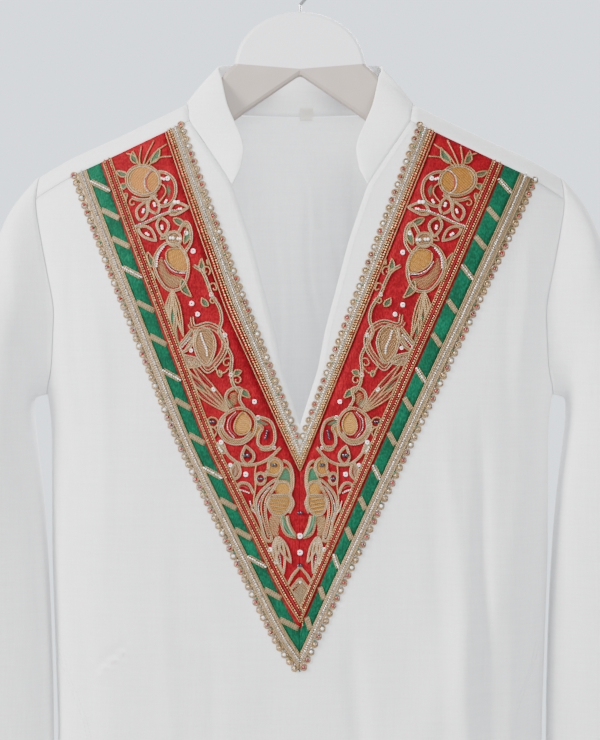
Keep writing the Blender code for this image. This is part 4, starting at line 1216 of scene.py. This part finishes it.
def parrot(motif):
    body = smooth_line([(-3, 12), (-10, 7), (-13.5, -3), (-10, -14), (-3, -22), (6, -21),
                        (11, -12), (11, 0), (5, 10)], closed=True)
    motif.fill(smooth_line([(-8, 2), (-11, -5), (-8, -14), (-2, -20.5), (5, -19), (8, -13),
                            (0, -11), (-5, -5)], closed=True), GOLD_CORDS, 15, 1)
    wing = smooth_line([(-4, 6), (4, 8), (10.5, 3), (10.5, -8), (3, -7.5), (-3.5, -2)], closed=True)
    motif.fill(wing, OCHRE_STITCHES, -8, 0.9)
    motif.double(body)
    motif.single(wing)
    motif.beads(SILVER_BEADS, smooth_line([(-5.5, -1), (-2, -6.5), (3.5, -9.5), (10, -10)]), 0.0007)
    motif.lay(RED_STITCHES, smooth_line([(-5, -3.5), (-1, -8.5), (4, -11.5), (9, -12)]), 0.0007)
    motif.beads(STONES, smooth_line([(-6.5, 9), (-10.5, 3), (-11.5, -5)]), 0.0009, 2)
    head = oval(1, 15, 5.2, 5.2)
    motif.fill(head, GOLD_CORDS, 30, 1)
    motif.double(head, 0.9)
    motif.gem(STONES, -0.6, 15.5, 2.8)
    motif.gem(STONES, 4.8, 15, 2.6)
    motif.single(leaf(-3.5, 17, 6, 3.4, 205, -0.8))
    hood = smooth_line([(4, 19), (9, 27), (13, 23), (13.5, 13), (9, 5)])
    motif.double(hood)
    crest = leaf(8.5, 11, 14, 4, 78, -0.8)
    motif.fill(crest, GREEN_STITCHES, 60)
    motif.single(crest)
    for a, b, way in ((-12, -6, 118), (-13, -13, 158)):
        spot = leaf(a, b, 13, 5, way, 1.4)
        motif.fill(leaf(a, b, 11, 3, way, 1.2), GREEN_STITCHES, way + 70)
        motif.single(spot)
    for tip, wide in (((-9, -62), 5), ((0, -70), 6), ((8, -56), 5)):
        way = math.degrees(math.atan2(tip[1] + 22, tip[0]))
        length = math.hypot(tip[0], tip[1] + 22)
        motif.single(leaf(0, -22, length, wide, way))
        motif.single(leaf(0, -24, length - 5, wide * 0.45, way))
    motif.fill(leaf(-0.5, -24, 36, 2.4, -91), GREEN_STITCHES, -91, 0.8)
    motif.beads(SILVER_BEADS, smooth_line([(0.2, -56), (0, -61), (0, -65)]), 0.0007)
    tail_leaf = leaf(7, -14, 15, 5, -62, -2)
    motif.fill(tail_leaf, GREEN_STITCHES, 30)
    motif.single(tail_leaf)
    motif.sequin(14, -32)
    motif.sequin(15, 6)


def vine(motif):
    stem = smooth_line([(-13, 51), (-6, 46), (-2, 38), (2, 27), (8, 17), (10, 7), (8, -3),
                        (13, -13), (18, -23), (17.5, -35), (19, -45), (24, -52)])
    motif.double(stem, 1.7)
    motif.beads(GREEN_STITCHES, stem, 0.0005, 1.2)
    for a, b, radius, start, turns in ((-3, 47, 4.2, -60, 1.1), (4, 33, 4.6, 200, -1),
                                       (14.5, -28, 4.4, 20, 1), (22.5, -42, 4.4, 200, -1.2),
                                       (3, 22, 3.4, 10, 1)):
        motif.single(curl(a, b, radius, start, turns))
    for a, b, length, width, way in ((-5, 44, 13, 4.2, 96), (-1, 18, 8.5, 4.6, 128),
                                     (24, -50, 11, 5, -36), (7, -34, 6, 3.6, -70),
                                     (20, -38, 7, 4.6, 30), (-2, 52, 7, 4, 30)):
        spot = leaf(a, b, length, width, way, 0.6)
        motif.fill(spot, GREEN_STITCHES, way + 70)
        motif.single(spot)
    motif.single(smooth_line([(17, -31), (12, -36), (7, -35), (4, -30), (6, -27)]))


def lotus(motif):
    heart = smooth_line([(-3, 13), (5, 9), (7.5, -1), (2.5, -13), (-4, -8), (-7, 3)], closed=True)
    motif.fill(heart, GOLD_CORDS, 62, 0.95)
    motif.double(heart)
    motif.beads(STONES, smooth_line([(-2.5, 9), (-1, 4), (1.5, -2), (2, -6.5)]), 0.0009, 1.9)
    bloom = smooth_line([(-9, 21), (-7, 14), (3, 16), (12, 11), (16, 1), (12, -9), (3, -18),
                         (-3, -13), (-9, -10)])
    motif.double(bloom, 1.8)
    motif.lay(RED_STITCHES, beside(bloom, -2)[6:-6], 0.0006)
    motif.single(beside(bloom, -3.2)[8:-8])
    upper = smooth_line([(-8, 12), (-14, 5), (-22, -5), (-13, -3), (-7, 5)], closed=True)
    motif.double(upper)
    motif.fill(upper, GOLD_CORDS, 45, 1.1)
    motif.beads(SILVER_BEADS, smooth_line([(-10, 6), (-14, 1.5), (-18, -3)]), 0.0008, 1.6)
    lower = smooth_line([(-22, -6), (-14, -7), (-6, -9), (-3, -13), (-11, -14.5), (-18, -11)],
                        closed=True)
    motif.double(lower)
    motif.fill(lower, PALE_CORDS, 95, 1.1)
    motif.sequin(-9.5, -3, 1.5)


def long_tailed_bird(motif):
    body = smooth_line([(-4, 11), (5, 10), (11, 2), (9, -8), (0, -14.5), (-10, -13),
                        (-16, -5), (-14, 4)], closed=True)
    motif.double(body)
    motif.double(smooth_line([(-12, 5), (-13.5, -4), (-7, -11.5), (2, -11.5), (8, -6)]))
    wing = smooth_line([(2, 8.5), (7.5, 1.5), (5.5, -6), (-1, -8), (-5, -3), (-3, 4)], closed=True)
    motif.fill(wing, OCHRE_STITCHES, 80, 0.85)
    motif.single(wing)
    motif.lay(RED_STITCHES, smooth_line([(-2, 8.5), (-7, 3), (-7.5, -4), (-3, -9.5)]), 0.0007)
    motif.beads(SILVER_BEADS, smooth_line([(-4, 8.5), (-9, 3), (-9.5, -4), (-5, -10)]), 0.0006)
    shoulder = smooth_line([(-7, 12), (-11, 19), (-8, 25), (0, 26), (-1, 18), (3, 11)])
    motif.double(shoulder)
    motif.fill(smooth_line([(-7, 15), (-8, 22), (-3, 23), (-3, 15)], closed=True), GOLD_CORDS, 20, 1.1)
    motif.fill(leaf(-5.5, 11, 9, 3.4, 115), GREEN_STITCHES, 30)
    neck = smooth_line([(9, 4), (15, 4.5), (22, 1.5), (25, -6), (24.5, -14), (19, -18), (13, -15),
                        (13.5, -8), (16, -3), (12, 0)])
    motif.double(neck)
    motif.fill(leaf(9.5, 2.5, 12, 3.4, -16), GREEN_STITCHES, 50)
    motif.fill(oval(11.5, -5, 3.6, 4.6, -10), OCHRE_STITCHES, 20, 0.9)
    motif.gem(DARK_STONES, 19, -8, 7, 2.6, 76)
    motif.single(leaf(14, -18.5, 12, 3.4, 4))
    for angle, length, wide in ((137, 54, 6), (146, 51, 5.4), (128, 49, 5.4)):
        motif.single(leaf(-8, 8, length, wide, angle))
        motif.lay(RED_STITCHES, leaf(-10, 10, length * 0.8, wide * 0.55, angle), 0.0005)
    motif.fill(leaf(-10, 10, 42, 2.6, 137), GREEN_STITCHES, 137, 0.8)
    for a, b in ((-21, 1), (-22, -6)):
        motif.single(oval(a, b, 4.2, 3.8))
    motif.gem(DARK_STONES, -21, 1.5, 3)
    motif.fill(oval(-22, -6, 2.4, 2), GREEN_STITCHES, 0)
    motif.sequin(-14.5, -1.5, 1.3)
    motif.double(leaf(-23, -15, 13, 5.5, -28))
    motif.beads(STONES, smooth_line([(-19, -17.5), (-14, -20)]), 0.0009, 1.9)


def stone_branch(motif):
    branch = smooth_line([(-20, 11), (-16, 2), (-8, -4.5), (0, -6.5), (10, -5), (19, 0),
                          (27, 8)])
    motif.double(branch)
    drop = leaf(0, -6, 15, 10, 96, -1)
    motif.double(drop)
    motif.gem(DARK_STONES, -1, 1.5, 4.6, 4)
    motif.double(leaf(-11, -18, 14, 8, 80))
    motif.fill(leaf(-11, -16, 11, 5, 80), PALE_CORDS, 20, 1)
    twig = smooth_line([(7, -6), (6, -14), (6.5, -24), (5, -36), (7, -47)])
    motif.single(twig)
    motif.double(oval(10.5, -17.5, 4, 4.6))
    motif.gem(DARK_STONES, 10.5, -17.5, 3.4, 3)
    motif.double(smooth_line([(-9.5, -24.5), (-5, -21), (1, -22.5), (5, -30)]))
    motif.beads(SILVER_BEADS, smooth_line([(-6.5, -26.5), (-2.5, -27.5), (1, -29)]), 0.0008, 1.6)
    motif.lay(RED_STITCHES, smooth_line([(-7.5, -24.8), (-4, -23.5), (1, -26)]), 0.0007)
    motif.single(curl(6, -42, 3.6, 80, 1.1))
    motif.beads(SILVER_BEADS, smooth_line([(2, -36), (3.5, -41), (6.5, -46)]), 0.0007)
    motif.sequin(-1.5, -14)
    motif.sequin(-14, -6.5, 1.5)
    motif.sequin(21.5, 7.5, 1.5)


def facing_parrot(motif):
    head = smooth_line([(-9, 22), (-12, 18), (-7.5, 18.5), (-3, 17.5), (1.5, 21), (2, 27.5), (-3, 31.5),
                        (-8, 28.5)], closed=True)
    motif.fill(head, OCHRE_STITCHES, 25, 1)
    motif.double(head)
    motif.gem(DARK_STONES, -4, 26, 3.6, 3.2)
    nape = smooth_line([(3, 30), (8, 27), (11, 19), (11, 9), (9, 2), (11.5, -5), (8, -13)])
    motif.double(nape)
    collar_patch = smooth_line([(5, 24.5), (9, 20), (9.5, 10.5), (5, 13), (-1, 14), (1, 18)], closed=True)
    motif.fill(collar_patch, GREEN_STITCHES, 50)
    motif.single(collar_patch)
    motif.fill(oval(3, 6.5, 6.4, 6), OCHRE_STITCHES, 35, 0.85)
    motif.double(oval(3, 6.5, 6.8, 6.4, 0, -40, 190))
    breast = smooth_line([(-6, 0.5), (2, 1.5), (9, 0), (9, -7), (3, -14), (-5, -13), (-8.5, -6)],
                         closed=True)
    motif.fill(breast, OCHRE_STITCHES, -8, 0.95)
    for level in (-1.5, -4.6, -7.7, -10.8):
        motif.single(smooth_line([(-7, level + 0.8), (0, level), (7.5, level - 1.2)]))
    motif.double(breast)
    flight = smooth_line([(-1, 14.5), (-9, 10), (-17, 1), (-19, -9), (-15, -21), (-11, -34),
                          (-6, -34.5), (-9, -24), (-11, -12), (-10, -2), (-5, 6)], closed=True)
    motif.double(flight)
    motif.single(smooth_line([(-5, 9.5), (-12, 1), (-14.5, -9), (-12, -21), (-8.5, -33)]))
    rim = smooth_line([(-7.5, 3.5), (-11.5, -5), (-12, -14), (-9.5, -24), (-7.5, -31)])
    motif.beads(RED_BEADS, rim, 0.0008, 1.9)
    motif.beads(SILVER_BEADS, smooth_line([(-8, 8), (-14, 0), (-16.8, -9), (-13.8, -20)]), 0.0006, 1.4)
    motif.fill(smooth_line([(-6, -14.5), (2, -15), (0, -24), (-1, -32), (-6.5, -31), (-8.5, -22)],
                           closed=True), GOLD_CORDS, 70, 1.15)
    for high, finish in ((0, GREEN_STITCHES), (3, PALE_CORDS)):
        belly = smooth_line([(3.0 + high, -15), (4.5 + high, -22), (8.0 + high * 0.8, -28), (13, -32)])
        motif.lay(finish, belly, 0.0012)
        motif.single(beside(belly, 1.3))
    motif.double(smooth_line([(2.5, -15), (2.5, -23), (6, -30), (14, -33)]))
    for tip, wide in (((-4, -52), 5.2), ((3.5, -62), 7), ((9.5, -53), 5.6)):
        way = math.degrees(math.atan2(tip[1] + 32, tip[0] + 1))
        length = math.hypot(tip[0] + 1, tip[1] + 32)
        motif.double(leaf(-1, -32, length, wide, way), 0.9)
        motif.beads(SILVER_BEADS if wide > 6 else RED_BEADS, leaf(-1, -38, length - 11, 0.4, way)[:12], 0.0006, 1.5)


def point_diamond(motif):
    diamond = np.array([(0, 12.5), (-10, 0.5), (0, -15.5), (10, 0.5), (0, 12.5)])
    motif.fill(even(diamond, 0.6), GOLD_CORDS, 35, 1)
    motif.fill(even(diamond * 0.72, 0.6), PALE_CORDS, -35, 1.6, 0.0005, 0.0016)
    motif.double(even(diamond, 0.6))
    motif.double(np.array([(-13, 7.5), (-6, 14.5), (0, 21.5), (6, 14.5), (13, 7.5)]))
    motif.sequin(0, 9, 1)
    motif.beads(GOLD_BEADS, even([(-3, -21), (0, -26.5), (3, -21)], 1), 0.0008, 1.8)


plumed_bird(Motif(0.1268, -0.1895, size=1.17))
four_leaf_sprig(Motif(0.1155, -0.2195, size=1.12))
parrot(Motif(0.1035, -0.2545, shift=(0.001, -0.001), size=1.12))
vine(Motif(0.0735, -0.3105))
lotus(Motif(0.0775, -0.3250, shift=(0, 0.002), size=1.14))
long_tailed_bird(Motif(0.0480, -0.3880, size=1.1))
stone_branch(Motif(0.0425, -0.4150))
facing_parrot(Motif(0.0170, -0.4475))
point_diamond(Motif(0, -0.5255, sides=(-1,)))
loose = Motif(0, 0)
for across, height in ((0.1080, -0.1880), (0.0925, -0.2330), (0.0830, -0.2990), (0.0720, -0.2830), (0.0610, -0.3160),
                       (0.0560, -0.3480), (0.0370, -0.3700), (0.0340, -0.3830), (0.0640, -0.4030), (0.0700, -0.3600),
                       (0.0270, -0.4900), (0.0250, -0.5000)):
    loose.sequin(-across * 1000.0, height * 1000.0, 1.8)
middle_row = Motif(0.0, 0.0, sides=(-1,))
for height, sewing in ((-0.4600, DARK_STONES), (-0.5030, DARK_STONES)):
    middle_row.gem(sewing, 0.0, height * 1000.0, 3.0)
for height in (-0.4790, -0.4925):
    middle_row.sequin(0.0, height * 1000.0, 2.1)


label_tape = label_cloth()
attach(label_tape, "root")
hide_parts("label")

# Sewn lines on the cotton: slit edge, pocket mouths, hems
COTTON_THREAD = Sewing("cotton_stitches", COTTON, "cotton", 4)


def stitched(points, normals, dash=0.0026, gap=0.0009, radius=0.00028):
    """Short raised stitches along points that lie on the cloth."""
    far = np.concatenate(((0.0,), np.cumsum(np.linalg.norm(np.diff(points, axis=0), axis=1))))
    for start in np.arange(0.0, far[-1] - dash, dash + gap):
        at = np.linspace(start, start + dash, 3)
        spots = np.stack([np.interp(at, far, points[:, i]) for i in range(3)], axis=1)
        up = np.stack([np.interp(at, far, normals[:, i]) for i in range(3)], axis=1)
        COTTON_THREAD.take(*tube(spots + up * radius * 0.5, radius, 4, 0.8, up))


def front_stitches(line, side):
    line = even(line, 0.002)
    stitched(*on_front(side * line[:, 0], line[:, 1]))


def back_stitches(x, z):
    y = back_y(x, z)
    slope_x = (back_y(x + 0.001, z) - back_y(x - 0.001, z)) / 0.002
    up = np.stack((-slope_x, np.ones_like(x), np.zeros_like(x)), axis=1)
    up /= np.linalg.norm(up, axis=1, keepdims=True)
    stitched(np.stack((x, y, z), axis=1), up)


# Rows of stitches: distance in from the neck slit's edge and the side's edge, height of the hem row
SLIT_MARGIN = 0.0045
SIDE_MARGIN = 0.009
HEM_ROW_Z = HEM_Z + 0.02
POCKET_ROWS = (0.0, 0.0035)

for side in (-1, 1):
    front_stitches([(float(slit_width(z)) + SLIT_MARGIN, z) for z in np.linspace(-0.15, -0.385, 60)], side)
    reach = float(side_width(HEM_ROW_Z)) - 0.006
    front_stitches([(0.0, HEM_ROW_Z), (reach, HEM_ROW_Z)], side)
    front_stitches([(float(side_width(z)) - SIDE_MARGIN, z) for z in np.linspace(HEM_ROW_Z, SLIT_TOP_Z, 40)], side)
    for shift in POCKET_ROWS:
        front_stitches(spread(POCKET_LEFT if side < 0 else POCKET_RIGHT, 40) + np.array((shift, 0.0)), side)
    back_stitches(side * np.linspace(0.0, reach, 110), np.full(110, HEM_ROW_Z))

for sewing in SEWN:
    sewing.build()
COTTON_THREAD.build()

# Carried-over solids
for node, finish in (("hanger", HANGER), ("hook", STEEL)):
    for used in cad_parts[node].material_slots:
        used.material = finish

# Camera, light and stage
CAMERA_PLACE = (0.0, -1.47, -0.3443)
camera = bpy.data.objects.new("camera", bpy.data.cameras.new("camera"))
bpy.context.scene.collection.objects.link(camera)
camera.location = CAMERA_PLACE
camera.rotation_euler = (math.pi / 2, 0.0, 0.0)
camera.data.lens = 85.0
camera.data.sensor_width = 36.0
camera.data.sensor_fit = "AUTO"
bpy.context.scene.camera = camera

# Square lamps: name, place, height of the target, size, power, colour
for name, place, target, size, power, colour in (
    ("key", (-2.3, -1.2, 0.8), -0.45, 0.9, 215.0, (1.0, 0.985, 0.97)),
    ("fill", (0.5, -2.8, 0.35), -0.5, 2.2, 125.0, (0.97, 0.985, 1.0)),
    ("behind", (0.8, 1.8, 0.9), -0.5, 1.6, 120.0, (1.0, 1.0, 1.0)),
):
    data = bpy.data.lights.new(name, "AREA")
    data.shape = "RECTANGLE"
    data.size = data.size_y = size
    data.energy, data.color = power, colour
    made = bpy.data.objects.new(name, data)
    bpy.context.scene.collection.objects.link(made)
    made.location = place
    aim = np.array((0.0, 0.0, target)) - np.array(place)
    made.rotation_euler = (math.atan2(math.hypot(aim[0], aim[1]), -aim[2]), 0.0, math.atan2(-aim[0], aim[1]))

world = bpy.data.worlds.new("pale_room")
bpy.context.scene.world = world
world.use_nodes = True
world.node_tree.nodes["Background"].inputs["Color"].default_value = (0.675, 0.708, 0.735, 1.0)
world.node_tree.nodes["Background"].inputs["Strength"].default_value = 0.58

look = Look("pale_floor")
colour = look.blend(look.noise(3.0, 4.0), (0.62, 0.63, 0.64), (0.68, 0.69, 0.7))
floor_finish = look.shade({"Base Color": colour, "Roughness": 0.85})
look = Look("pale_wall")
colour = look.blend(look.noise(0.6, 1.0), (0.6, 0.66, 0.735), (0.66, 0.72, 0.79))
wall_finish = look.shade({"Base Color": (0.0, 0.0, 0.0, 1.0), "Specular IOR Level": 0.0, "Emission Color": colour,
                          "Emission Strength": 2.7})
STAGE_X = (-9.0, 9.0)
FLOOR_Z = -2.05
WALL_Y = 6.0
WALL_TOP_Z = 6.0
FACE = np.array([(0, 2, 3, 1)])
floor_points = np.array([(x, y, FLOOR_Z) for x in STAGE_X for y in (-WALL_Y, WALL_Y)])
floor = add_mesh("floor", floor_points, FACE, floor_finish)
wall_points = np.array([(x, WALL_Y, z) for x in STAGE_X for z in (FLOOR_Z, WALL_TOP_Z)])
wall = add_mesh("wall", wall_points, FACE, wall_finish)
